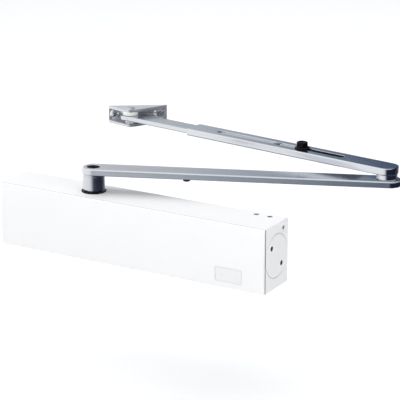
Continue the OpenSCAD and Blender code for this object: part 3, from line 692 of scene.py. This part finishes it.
def make_badge():
    """Blank plate with a raised rim and three plain bars."""
    half_w, half_h = (half - 0.1 for half in BADGE_HALF)
    plate = prism(rectangle(-half_w, half_w, -half_h, half_h, 1, 5), eased(0.35, 0.84, 0.18, 0.05, 3), "y")
    field = prism(rectangle(1 - half_w, half_w - 1, 1 - half_h, half_h - 1, 0.6, 4),
                  [(-0.15, 0), (-0.12, 0.36), (0.08, 0.6)], "y")
    cut(plate, field)
    bars = [
        prism(rectangle(-w, w, z - 0.5, z + 0.5, 0.45, 4), eased(0.4, 0.7, 0.14, 0.02, 3), "y")
        for w, z in ((4.5, 3.3), (9.6, 0), (9.6, -3.3))
    ]
    return at_badge(fuse(plate, *bars))


def cover_shade_amount(face):
    """Painted shade on the edge that meets the housing: grey on its back face and dark at the end seams."""
    at_back = abs(face.center.y - COVER_BACK) < 0.45
    if at_back and abs(face.center.x) > END_X - 0.6:
        return 1
    return 0.7 if at_back and face.normal.y > 0.9 else 0


cover = mark_painted_shade(make_cover(), cover_shade_amount)
stand_for(cover, "front_cover", BODY, cover_coat)
stand_for(make_badge(), "badge", BODY, badge_coat)


# End plugs: flush screwed heads with two spanner holes
PLUG_R = 19.95
PLUG_NECK_R = 17.9
PLUG_FACE = END_X - 0.02
SPANNER_R = 2.3
SPANNER_OUT = 13 / math.sqrt(2)


def make_plug():
    nose = END_X - 12
    ring_low, ring_high = nose + 0.75, nose + 3.25
    ring_floor = BORE_R - 0.1 - 2.3
    plug = lathe([
        (0, nose), (17.5, nose), (PLUG_NECK_R, nose + 0.4), (PLUG_NECK_R, ring_low), (ring_floor, ring_low),
        (ring_floor, ring_high), (PLUG_NECK_R, ring_high), (PLUG_NECK_R, nose + 4), (18.95, nose + 4.3),
        (18.95, END_X - 3), (PLUG_R, END_X - 3), (PLUG_R, END_X - 0.3), (PLUG_R - 0.3, PLUG_FACE),
        (0, PLUG_FACE),
    ], 96)
    for place in (-SPANNER_OUT, SPANNER_OUT):
        cut(plug, moved(drill(SPANNER_R, END_X - 8, PLUG_FACE, 0.2, steps=32), (place, place, 0)))

    # Painted shade: dark in the spanner holes and on the plug's side under its face, so the ring gap shows
    # as a dark line
    def shade_amount(face):
        point = face.center
        in_hole = any(math.hypot(point.x - place, point.y - place) < SPANNER_R + 0.1
                      for place in (-SPANNER_OUT, SPANNER_OUT))
        return point.z < END_X - 0.5 and (in_hole or point.xy.length > 19.5)

    return along_x(mark_painted_shade(plug, shade_amount), (0, BORE_Y, 0))


stand_for(make_plug(), "right_plug", BODY, coat)
stand_for(flipped(make_plug()), "left_plug", BODY, coat)


def valve_screw(node, x, y):
    """Regulating screw with a slotted head, a seal groove and a needle tip."""
    top = span(node)[1]
    screw = lathe([
        (0, 14.5), (0.7, 14.5), (1.5, 19), (2.35, 19.1), (2.35, 22), (1.52, 22), (1.52, 23), (2.35, 23),
        (2.35, top - 0.3), (2.05, top), (0, top),
    ], 32)
    cut(screw, prism(rectangle(-3, 3, -0.45, 0.45), [(0, top - 1.2), (0, top + 1)]))
    stand_for(moved(screw, (x, y, 0), 35), node, BODY, bright_steel)


for valve, (valve_x, valve_y) in zip(("closing_speed_valve", "latching_speed_valve"), VALVES):
    valve_screw(valve, valve_x, valve_y)

COLLAR_R = 11.68
COLLAR_HOLE_R = 8.4
COLLAR_NECK_R = SEAT_TOP_R - 0.03
collar_low, collar_top = span("spindle_collar")
stand_for(lathe(rounded([
    (COLLAR_HOLE_R, collar_low), (COLLAR_NECK_R, collar_low), (COLLAR_NECK_R, TOP_Z + 0.02),
    (COLLAR_R, TOP_Z + 0.02), (COLLAR_R, collar_top), (COLLAR_HOLE_R, collar_top),
], [0.1, 0.2, 0, 0.05, 0.7, 0.4])), "spindle_collar", SPINDLE, gloss_black)

CAP_R = 12.98
CAP_SKIRT_R = (10.65, SEAT_LOW_R - 0.05)
CAP_SKIRT_TOP = -28.05
cap_low = span("lower_cap")[0]
stand_for(lathe(rounded([
    (0, cap_low), (CAP_R, cap_low), (CAP_R, -TOP_Z - 0.02), (CAP_SKIRT_R[1], -TOP_Z - 0.02),
    (CAP_SKIRT_R[1], CAP_SKIRT_TOP), (CAP_SKIRT_R[0], CAP_SKIRT_TOP),
    (CAP_SKIRT_R[0], -TOP_Z + 0.02), (0, -TOP_Z + 0.02),
], [0, 0.7, 0.1, 0, 0.3, 0.3, 0.1, 0])), "lower_cap", SPINDLE, cap_black)


# ---------- springs ----------

def coil(node, mean_r, wire_r, turns, steps=40, sides=12):
    """Compression spring along +X with closed end turns."""
    low, high = span(node, "x")
    length = high - low - 2 * wire_r
    closed = 2.1 * wire_r / length

    def share(t):
        if t < 1:
            return closed * t
        if t > turns - 1:
            return 1 - closed * (turns - t)
        return closed + (1 - 2 * closed) * (t - 1) / (turns - 2)

    rings = []
    for i in range(turns * steps + 1):
        t = i / steps
        a = 2 * math.pi * t
        x = low + wire_r + length * share(t)
        ring = []
        for k in range(sides):
            b = 2 * math.pi * k / sides
            r = mean_r + wire_r * math.cos(b)
            ring.append((x + wire_r * math.sin(b), BORE_Y + r * math.cos(a), r * math.sin(a)))
        rings.append(ring)
    made = stand_for(solid(rings), node, BODY, spring_steel)
    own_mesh(made)


coil("closing_spring", mean_r=14.1, wire_r=2.25, turns=14)
coil("inner_spring", mean_r=8.6, wire_r=1.27, turns=20)

# ---------- main arm ----------

ARM_LOW, ARM_TOP = span("main_arm")
ARM_L = main_direction.xy.length / MM
ARM_HALF = 10.5
ARM_END = 3
HOLE_R = 6
SQUARE_HALF = 5.55
SCREW_SEAT = 45
STUD_R = 1.48
stud_place = Vector((sum(span("arm_stud", "x")) / 2, sum(span("arm_stud", "y")) / 2))
STUD_X = (stud_place - spindle_pos.xy / MM).length
hub_low = span("arm_hub")[0]


def make_main_arm():
    height = ARM_TOP - ARM_LOW
    side = rounded([
        (6, 0), (0.5, 0), (0, 0.5), (0, height - 1), (1, height), (6, height),
    ], [0, 0.3, 0.3, 0.35, 0.35, 0], 3)
    bar = prism(stadium(0, ARM_L + ARM_END, ARM_HALF, 36), [(inset, ARM_LOW + z) for inset, z in side])
    return cut(
        bar,
        drill(HOLE_R, ARM_LOW, ARM_TOP, 0.35, (False, True), 64),
        bore(HOLE_R, ARM_LOW - 1, ARM_LOW + 1, 64),
        moved(bore(STUD_R + 0.02, ARM_LOW - 1, ARM_LOW + 3), (STUD_X, 0, 0)),
        moved(lathe([(0, ARM_LOW - 0.5), (7.25, ARM_LOW - 0.5), (7.2, ARM_LOW), (4.2, ARM_LOW + 3),
                     (5.5, ARM_LOW + 3), (5.5, ARM_TOP + 1), (0, ARM_TOP + 1)], 64), (ARM_L, 0, 0)),
    )


stand_for(make_main_arm(), "main_arm", ARM, arm_lacquer)


def make_hub():
    """Cone between body and arm, with the spindle's square socket below and the screw's seat above."""
    cone = lathe(rounded([
        (3.3, hub_low), (10.2, hub_low), (10.02, ARM_LOW - 7.2), (9.92, ARM_LOW - 1.6),
        (9.6, ARM_LOW - 1.35), (9.8, ARM_LOW - 1.05), (9.8, ARM_LOW), (HOLE_R, ARM_LOW),
        (HOLE_R, SCREW_SEAT), (3.3, SCREW_SEAT),
    ], [0, 0.5, 0, 0.1, 0.2, 0.1, 0, 0, 0.3, 0.2]), 80)
    square = rectangle(-SQUARE_HALF, SQUARE_HALF, -SQUARE_HALF, SQUARE_HALF, 0.3, 3)
    return cut(cone, prism(square, [(0, hub_low - 1), (0, SCREW_SEAT - 1)]))


stand_for(make_hub(), "arm_hub", ARM, hub_lacquer)


def thread(radius, core, pitch, low, high, steps=32, point=0.0):
    """Threaded shank along Z, from its core to its crests, running out at both ends."""
    rows = max(8, int((high - low) / pitch * 8))
    rings = []
    for i in range(rows + 1):
        z = low + (high - low) * i / rows
        fade = min(1, (z - low) / pitch, (high - z) / pitch)
        taper = 1 if not point else min(1, max(0.12, (high - z) / point))
        ring = []
        for k in range(steps):
            phase = (z / pitch - k / steps) % 1
            crest = max(0, 1 - abs(phase - 0.5) * 4)
            r = (core + (radius - core) * crest * fade) * taper
            a = 2 * math.pi * k / steps
            ring.append((r * math.cos(a), r * math.sin(a), z))
        rings.append(ring)
    return solid(rings)


M6 = (2.98, 2.5, 1)


def make_arm_screw():
    low, top = span("arm_screw")
    head = lathe(rounded([(0, SCREW_SEAT), (5, SCREW_SEAT), (5, top), (0, top)], [0, 0.2, 0.5, 0]), 64)
    cut(head, prism(lambda inset: [(x * (1 - inset), y * (1 - inset)) for x, y in hexagon(5.8)],
                    [(0, SCREW_SEAT + 1.8), (0, top - 0.3), (-0.12, top + 0.2)]))
    return fuse(head, thread(*M6, low, SCREW_SEAT + 0.4))


stand_for(make_arm_screw(), "arm_screw", ARM, black_oxide)

stud_low, stud_top = span("arm_stud")
stand_for(moved(lathe(rounded([
    (0, stud_low), (3.5, stud_low), (3.5, ARM_LOW - 0.02), (STUD_R, ARM_LOW - 0.02),
    (STUD_R, stud_top), (0, stud_top),
], [0, 0.9, 0.25, 0.1, 0.3, 0], 5), 48), (STUD_X, 0, 0)), "arm_stud", ARM, seal_rubber)

# ---------- elbow ----------

SLEEVE_LOW, SLEEVE_TOP = span("forearm_sleeve")
CHANNEL_LOW = SLEEVE_TOP - 6.8
PIN_R = 4
PIN_CLEAR_R = PIN_R + 0.05
KNUCKLE_R = 9.6
WASHER_R = 8.18
pin_low, pin_top = span("elbow_pin")
bush_low, bush_top = span("elbow_bush")
washer_low, washer_top = span("elbow_washer")

stand_for(lathe(rounded([
    (PIN_CLEAR_R, bush_low), (5.48, bush_low), (5.48, bush_top), (PIN_CLEAR_R, bush_top),
], 0.2, 3), 56), "elbow_bush", FOREARM, bronze)
stand_for(lathe(rounded([
    (PIN_CLEAR_R, washer_low), (WASHER_R, washer_low), (WASHER_R, washer_top), (PIN_CLEAR_R, washer_top),
], [0.1, 0.3, 0.3, 0.1], 4)), "elbow_washer", FOREARM, white_nylon)
stand_for(lathe(rounded([
    (0, pin_low), (2.2, pin_low), (2.6, pin_low + 0.5), (6.7, pin_low + 0.02), (PIN_R, ARM_LOW + 3),
    (PIN_R, pin_top), (0, pin_top),
], [0, 0.2, 0.4, 0.1, 0.2, 0.5, 0], 4)), "elbow_pin", FOREARM, bright_steel)

# ---------- forearm ----------

SLEEVE_W = 21.6
SLEEVE_TAIL = 9.9
TAIL_R = 9.5
SLEEVE_L = 218.8
WALL = 1.1
SIDE_WALL = 2
SOLID_L = 30
EDGE_LOW_R = 1.25
EDGE_TOP_R = 1.15
NOTCH_X = 2.6
SLOT = (46.2, 189.2, 6.4)
FORE_L = (pivot_pos - elbow_pos).xy.length / MM
CLAMP_X = (clamp_pos - elbow_pos).xy.length / MM


def channel(x, half, low, high, r_low, r_high, steps=5):
    """Ring across the forearm at x: a rounded rectangle."""
    return [(x, y, z) for y, z in [
        *arc((half - r_low, low + r_low), r_low, -90, 0, steps),
        *arc((half - r_high, high - r_high), r_high, 0, 90, steps),
        *arc((-half + r_high, high - r_high), r_high, 90, 180, steps),
        *arc((-half + r_low, low + r_low), r_low, 180, 270, steps),
    ]]


def make_sleeve():
    """Roll-formed channel: rounded tail over the elbow, hollow towards its open end, slotted on top."""
    half = SLEEVE_W / 2
    rings = []
    for i in range(11):
        a = math.radians(90 * i / 10)
        x = -SLEEVE_TAIL + TAIL_R * (1 - math.cos(a))
        tail_half = half - TAIL_R * (1 - math.sin(a))
        rings.append(channel(x, tail_half, CHANNEL_LOW, SLEEVE_TOP, EDGE_LOW_R, EDGE_TOP_R))
    for x in (SOLID_L, 80, 130, 180, SLEEVE_L - 0.2):
        rings.append(channel(x, half, CHANNEL_LOW, SLEEVE_TOP, EDGE_LOW_R, EDGE_TOP_R))
    rings.append(channel(SLEEVE_L, half - 0.2, CHANNEL_LOW + 0.2, SLEEVE_TOP - 0.2,
                         EDGE_LOW_R - 0.15, EDGE_TOP_R - 0.15))
    inner = (half - SIDE_WALL, CHANNEL_LOW + WALL, SLEEVE_TOP - WALL)
    rings.append(channel(SLEEVE_L, inner[0] + 0.15, inner[1] - 0.15, inner[2] + 0.15, 0.5, 0.5))
    for x in (SLEEVE_L - 0.15, 180, 130, 80, SOLID_L):
        rings.append(channel(x, *inner, 0.4, 0.4))
    sleeve = solid(rings)
    boss = lathe(rounded([
        (0, SLEEVE_LOW), (KNUCKLE_R, SLEEVE_LOW), (KNUCKLE_R, CHANNEL_LOW + 1.5),
        (0, CHANNEL_LOW + 1.5),
    ], [0, 0.35, 0, 0]), 64)
    fuse(sleeve, boss)
    x0, x1, slot_width = SLOT
    slots = [
        prism(stadium(start, end, slot_width / 2, 20),
              [(0, SLEEVE_TOP - 2), (0, SLEEVE_TOP - 0.25), (-0.25, SLEEVE_TOP), (-0.25, SLEEVE_TOP + 1)])
        for start, end in ((x0 + slot_width / 2, CLAMP_X), (CLAMP_X, x1 - slot_width / 2))
    ]
    pin_seat = bore(PIN_R, SLEEVE_LOW - 1, pin_top + 0.01, 56)
    notches = [along_y(bore(0.85, -1.5, 1.5), (NOTCH_X, side * half, CHANNEL_LOW)) for side in (-1, 1)]
    cut(sleeve, *slots, pin_seat, *notches)

    # Painted shade: dark inside the slot before the clamp screw and in the side notches
    def shade_amount(face):
        x, y, z = face.center
        in_slot = x0 < x < CLAMP_X and abs(y) < slot_width / 2 + 0.05 and z < SLEEVE_TOP - 0.3
        in_notch = (abs(x - NOTCH_X) < 0.9 and abs(y) > half - 1.6
                    and CHANNEL_LOW + 0.02 < z < CHANNEL_LOW + 0.9 and abs(face.normal.y) < 0.5)
        return 0.85 * (in_slot or in_notch)

    return mark_painted_shade(sleeve, shade_amount)


stand_for(make_sleeve(), "forearm_sleeve", FOREARM, forearm_lacquer)

ROD_LOW, ROD_TOP = span("forearm_rod")
ROD_START = 86
SPARE_X = 121.3
ROD_HALF = 8.7
EYE_R = 9.8


def rod_outline(inset):
    """Flat bar from its square inner end to the round eye."""
    half, eye = ROD_HALF - inset, EYE_R - inset
    open_angle = math.degrees(math.asin(half / eye))
    return [
        (ROD_START + inset, half),
        (ROD_START + inset, -half),
        *arc((FORE_L, 0), eye, -180 + open_angle, 180 - open_angle, 40),
    ]


def make_rod():
    rod = prism(rod_outline, eased(ROD_LOW, ROD_TOP, 0.85, 0.7, 4, 3))
    spare = prism(stadium(SPARE_X - 1.3, SPARE_X + 1.3, 2.2, 14),
                  [(-0.2, ROD_LOW - 1), (-0.2, ROD_LOW), (0, ROD_LOW + 0.2), (0, ROD_TOP - 0.2),
                   (-0.2, ROD_TOP), (-0.2, ROD_TOP + 1)])
    pivot = moved(drill(3.57, ROD_LOW, ROD_TOP, 0.25, (True, True), 48), (FORE_L, 0, 0))
    clamp = moved(drill(3.05, ROD_LOW, ROD_TOP, 0.25, (True, True), 40), (CLAMP_X, 0, 0))
    cut(rod, spare, pivot, clamp)
    # Painted shade on the walls of the spare hole
    return mark_painted_shade(rod, lambda face: abs(face.center.x - SPARE_X) < 3.8 and abs(face.center.y) < 2.5
                      and face.normal.z < 0.9)


stand_for(make_rod(), "forearm_rod", FOREARM, forearm_lacquer)


def make_clamp_screw():
    """Hexagon flange screw: domed flange, chamfered head, dished top, threaded shank."""
    low = SLEEVE_TOP + 0.1
    shank_low, top = span("clamp_screw")
    flange = lathe(rounded([
        (0, low), (7.1, low), (7.1, low + 0.75), (5.5, low + 1.75), (0, low + 1.75),
    ], [0, 0.1, 0.35, 0.3, 0], 4), 64)
    head = solid([[(x, y, z) for x, y in rounded(hexagon(10), 0.6, 4)] for z in (low + 0.4, top)])
    bell = lathe(rounded([
        (0, low), (6.2, low), (6.2, top - 1.3), (4.7, top - 0.15), (4.2, top), (3.3, top),
        (2.7, top - 0.75), (0, top - 0.9),
    ], [0, 0, 0.3, 0.3, 0.2, 0.3, 0.3, 0], 3), 64)
    keep_inside(head, bell)
    fuse(flange, head)
    return fuse(flange, thread(*M6, shank_low, low + 0.3))


stand_for(moved(make_clamp_screw(), (CLAMP_X, 0, 0), 8), "clamp_screw", FOREARM, black_oxide)

# ---------- frame bracket ----------

BRACKET_LOW, BRACKET_TOP = span("bracket")
BRACKET_MID = (BRACKET_LOW + BRACKET_TOP) / 2
SHEET = 2.5
PLATE = (-20.8, 36.4)
PIVOT_OUT = 10.7
APEX_R = 7
PIVOT_R = 3.5
PIVOT_CLEAR_R = PIVOT_R + 0.02
SCREW_X = (-14.8, 28.3)
SCREW_HEAD_R = 5.3
SCREW_R = 2.5


def tangent_angle(point, side):
    """Where a line from point touches the apex circle, as an angle in degrees."""
    x, y = point
    return math.degrees(math.atan2(y, x) + side * math.acos(APEX_R / math.hypot(x, y)))


def bracket_plan(inset):
    """Plan of the bracket: screw plate behind, both flanges tapering to the pivot."""
    left, right = (PLATE[0], PIVOT_OUT), (PLATE[1], PIVOT_OUT)
    back = PIVOT_OUT + SHEET
    first, last = tangent_angle(left, 1), tangent_angle(right, -1)
    corners = rounded([right, (PLATE[1], back), (PLATE[0], back), left], [0, 0.4, 0.4, 0], 4)
    return corners + arc((0, 0), APEX_R, first, last + (360 if last < first else 0), 24)


def make_bracket():
    """Bent sheet: a channel with true bends, trimmed to its plan and pierced."""
    tip, back = -APEX_R - 1, PIVOT_OUT + SHEET
    outer = rounded([
        (tip, BRACKET_LOW), (back, BRACKET_LOW), (back, BRACKET_TOP), (tip, BRACKET_TOP),
        (tip, BRACKET_TOP - SHEET), (PIVOT_OUT, BRACKET_TOP - SHEET),
        (PIVOT_OUT, BRACKET_LOW + SHEET), (tip, BRACKET_LOW + SHEET),
    ], [0, 1.3, 1.3, 0, 0, 0.5, 0.5, 0], 5)
    folded = prism(lambda inset: outer, [(0, PLATE[0] - 1), (0, PLATE[1] + 1)], "x")
    trimmed = keep_inside(folded, prism(bracket_plan, [(0, BRACKET_LOW - 1), (0, BRACKET_TOP + 1)]))
    sink_r = SCREW_HEAD_R + 0.15
    holes = [
        along_y(lathe([(0, -1), (sink_r, -1), (sink_r, 0.02), (2.7, 2.2), (2.7, 5), (0, 5)], 48),
                (x, PIVOT_OUT, BRACKET_MID))
        for x in SCREW_X
    ]
    pivot = bore(PIVOT_CLEAR_R, BRACKET_LOW - 1, BRACKET_TOP + 1, 48)
    return ease_edges(cut(trimmed, *holes, pivot), 0.3, 50)


stand_for(make_bracket(), "bracket", BRACKET, bracket_lacquer, 40)

RIVET_R = 4.55
rivet_low, rivet_top = span("bracket_pin")
stand_for(lathe(rounded([
    (0, rivet_low), (3.9, rivet_low), (RIVET_R, BRACKET_LOW - 0.02), (PIVOT_R, BRACKET_LOW - 0.02),
    (PIVOT_R, BRACKET_TOP + 0.02), (RIVET_R, BRACKET_TOP + 0.02), (3.4, rivet_top - 0.1), (0, rivet_top),
], [0, 0.5, 0.1, 0, 0, 0.1, 0.9, 0], 4), 48), "bracket_pin", BRACKET, bright_steel)


def make_bushes():
    """Flanged spacers between the rod's eye and the two flanges."""
    upper = (ROD_TOP + 0.1, BRACKET_TOP - SHEET)
    lower = (BRACKET_LOW + SHEET, ROD_LOW - 0.1)
    rings = [
        lathe(rounded([(PIVOT_CLEAR_R, low), (outer, low), (outer, high), (PIVOT_CLEAR_R, high)],
                      [0.1, 0.45, 0.45, 0.1], 4), 56)
        for (low, high), outer in ((upper, 7.68), (lower, 5.18))
    ]
    return fuse(*rings)


stand_for(make_bushes(), "bracket_bushes", BRACKET, white_nylon)


def make_wood_screw(x):
    """Raised countersunk wood screw with a cross recess, pointing out behind the plate."""
    head = lathe(rounded([
        (0, -1.2), (1.9, -1.1), (3.8, -0.68), (5.22, 0.02), (5.22, 0.15), (2.0, 2.6), (0, 2.6),
    ], [0, 0.3, 0.5, 0.1, 0.1, 0, 0], 3), 48)
    wing = rectangle(-2.65, 2.65, -0.5, 0.5, 0.35, 4)
    recess = [
        moved(prism(lambda inset: [(u * (1 - inset), v * (1 - 0.35 * inset)) for u, v in wing(0)],
                    [(-0.05, -2.3), (0, -1), (0.55, 0.9)]), turn=turn)
        for turn in (45, 135)
    ]
    cut(head, *recess)
    fuse(head, thread(SCREW_R - 0.02, 1.7, 1.8, 2.2, 17.9, 28, 4.5))
    return along_y(head, (x, PIVOT_OUT, BRACKET_MID))


stand_for(fuse(*[make_wood_screw(x) for x in SCREW_X]), "bracket_screws", BRACKET, zinc)

# ---------- CAD nodes that stay: the sealed works ----------

KEPT = {
    bearing_steel: ("spindle", "check_ball", "check_retainer", "passage_ball_left", "passage_ball_right",
                    "upper_bearing", "lower_bearing", "upper_needles", "lower_needles"),
    piston_steel: ("piston",),
    seal_rubber: ("piston_seal", "spindle_seals", "plug_o_rings", "closing_valve_o_ring",
                  "latching_valve_o_ring"),
}
for material, kept_nodes in KEPT.items():
    for node in kept_nodes:
        look = frame["nodes"][node].data.materials
        look.clear()
        look.append(material)

# ---------- studio ----------

FLOOR_Z = cad_box[0].z - 0.12
FLOOR_HALF = 9
floor_corners = [(x * FLOOR_HALF, y * FLOOR_HALF, FLOOR_Z) for x, y in ((-1, -1), (1, -1), (1, 1), (-1, 1))]
floor_mesh = bpy.data.meshes.new("floor")
floor_mesh.from_pydata(floor_corners, [], [(0, 1, 2, 3)])
floor = bpy.data.objects.new("floor", floor_mesh)
bpy.context.scene.collection.objects.link(floor)
floor_paint = Shader("floor_paint", Roughness=0.9)
floor_tone = floor_paint.blend(floor_paint.noise(3, 2), (0.93, 0.93, 0.93, 1), (0.95, 0.95, 0.95, 1))
floor_mesh.materials.append(floor_paint.set(Base_Color=floor_tone))

# Only the arm's pieces, the bracket and the collar are reflected, so the bars' sides stay clean
REFLECTED = ("arm_", "main_arm", "spindle_collar", "elbow_", "forearm_", "clamp_", "bracket")
for thing in bpy.context.scene.objects:
    if thing.type == "MESH" and not thing.name.startswith(REFLECTED):
        thing.visible_glossy = False


TO_WALLS = (-0.927, -0.375, 0)
TO_FRONT = (0.503, -0.864, 0)
WALL_TONES = [
    (0.44, (0.012, 0.017, 0.035)), (0.505, (0.018, 0.03, 0.07)), (0.53, (0.07, 0.115, 0.2)),
    (0.558, (0.45, 0.49, 0.53)), (0.595, (0.64, 0.66, 0.68)), (0.7, (0.95, 0.95, 0.95)),
    (0.82, (1.04, 1.05, 1.06)), (1.0, (1.06, 1.07, 1.08)),
]


def studio_world():
    """White walls to the left of the view and a dark blue-grey room to its right, with a light ceiling.

    In reflections the room is also light up in front, down behind and high up, so the bars stay silver
    from every side.
    """
    world = bpy.data.worlds.new("studio")
    bpy.context.scene.world = world
    world.use_nodes = True
    tree = world.node_tree
    direction = add_node(tree, "ShaderNodeTexCoord").outputs["Generated"]
    height = add_node(tree, "ShaderNodeSeparateXYZ", _0=direction).outputs["Z"]
    mirrored = add_node(tree, "ShaderNodeLightPath").outputs["Is Glossy Ray"]

    def towards(aim):
        return add_node(tree, "ShaderNodeVectorMath", {"operation": "DOT_PRODUCT"},
                        _0=direction, _1=aim).outputs["Value"]

    def product(a, b):
        return add_node(tree, "ShaderNodeMath", {"operation": "MULTIPLY"}, _0=a, _1=b).outputs[0]

    def ramp(value, start, full, share):
        return add_node(tree, "ShaderNodeMapRange", _0=value, _1=start, _2=full, _4=share).outputs[0]

    def mix(factor, under, tone, blend_type):
        return add_node(tree, "ShaderNodeMix", {"data_type": "RGBA", "blend_type": blend_type},
                        _0=factor, _6=under, _7=(*tone, 1)).outputs[2]

    walls = add_node(tree, "ShaderNodeValToRGB", _0=ramp(towards(TO_WALLS), -1, 1, 1))
    while len(walls.color_ramp.elements) < len(WALL_TONES):
        walls.color_ramp.elements.new(0.5)
    for stop, (at, tone) in zip(walls.color_ramp.elements, WALL_TONES):
        stop.position = at
        stop.color = (*tone, 1)
    shown = mix(ramp(height, 0.78, 0.93, 0.55), walls.outputs[0], (1.5, 1.5, 1.5), "MIX")
    shown = mix(ramp(height, -0.42, -0.62, 1), shown, (0.05, 0.06, 0.09), "MIX")
    crossed = product(towards(TO_FRONT), height)
    shown = mix(product(ramp(crossed, 0.1, 0.2, 0.9), mirrored), shown, (0.32, 0.355, 0.41), "LIGHTEN")
    shown = mix(product(ramp(height, 0.42, 0.62, 0.9), mirrored), shown, (0.55, 0.57, 0.6), "LIGHTEN")
    tree.links.new(shown, tree.nodes["Background"].inputs["Color"])


def softbox(name, place, target, size, power):
    """A square soft light aimed at a point, that doesn't show in reflections."""
    light = bpy.data.lights.new(name, "AREA")
    light.energy = power
    light.size = size
    lamp = bpy.data.objects.new(name, light)
    lamp.location = place
    lamp.rotation_euler = (Vector(target) - Vector(place)).to_track_quat("-Z", "Y").to_euler()
    lamp.visible_glossy = False
    bpy.context.scene.collection.objects.link(lamp)


studio_world()
softbox("ceiling_light", (0, 0.3, 2.4), (0, 0.3, 0), size=4, power=61)
softbox("front_light", (-0.6, -2.2, 1.1), (0, 0, 0), size=1.8, power=9)
softbox("end_light", (2.2, -0.6, 0.7), (0.1, 0, 0), size=1.4, power=23)

AZIMUTH = math.radians(30.19)
ELEVATION = math.radians(17.70)
DISTANCE = 1.8269
AIM = Vector((0.0337, 0.0274, 0.0212))
away = Vector((math.sin(AZIMUTH) * math.cos(ELEVATION), -math.cos(AZIMUTH) * math.cos(ELEVATION),
               math.sin(ELEVATION)))
camera_data = bpy.data.cameras.new("camera")
camera_data.sensor_width = 36
camera_data.lens = 178.2
camera_data.clip_end = 40
camera = bpy.data.objects.new("camera", camera_data)
camera.location = AIM + away * DISTANCE
camera.rotation_mode = "QUATERNION"
camera.rotation_quaternion = (-away).to_track_quat("-Z", "Y")
bpy.context.scene.collection.objects.link(camera)
bpy.context.scene.camera = camera
bpy.context.scene.view_settings.view_transform = "Standard"
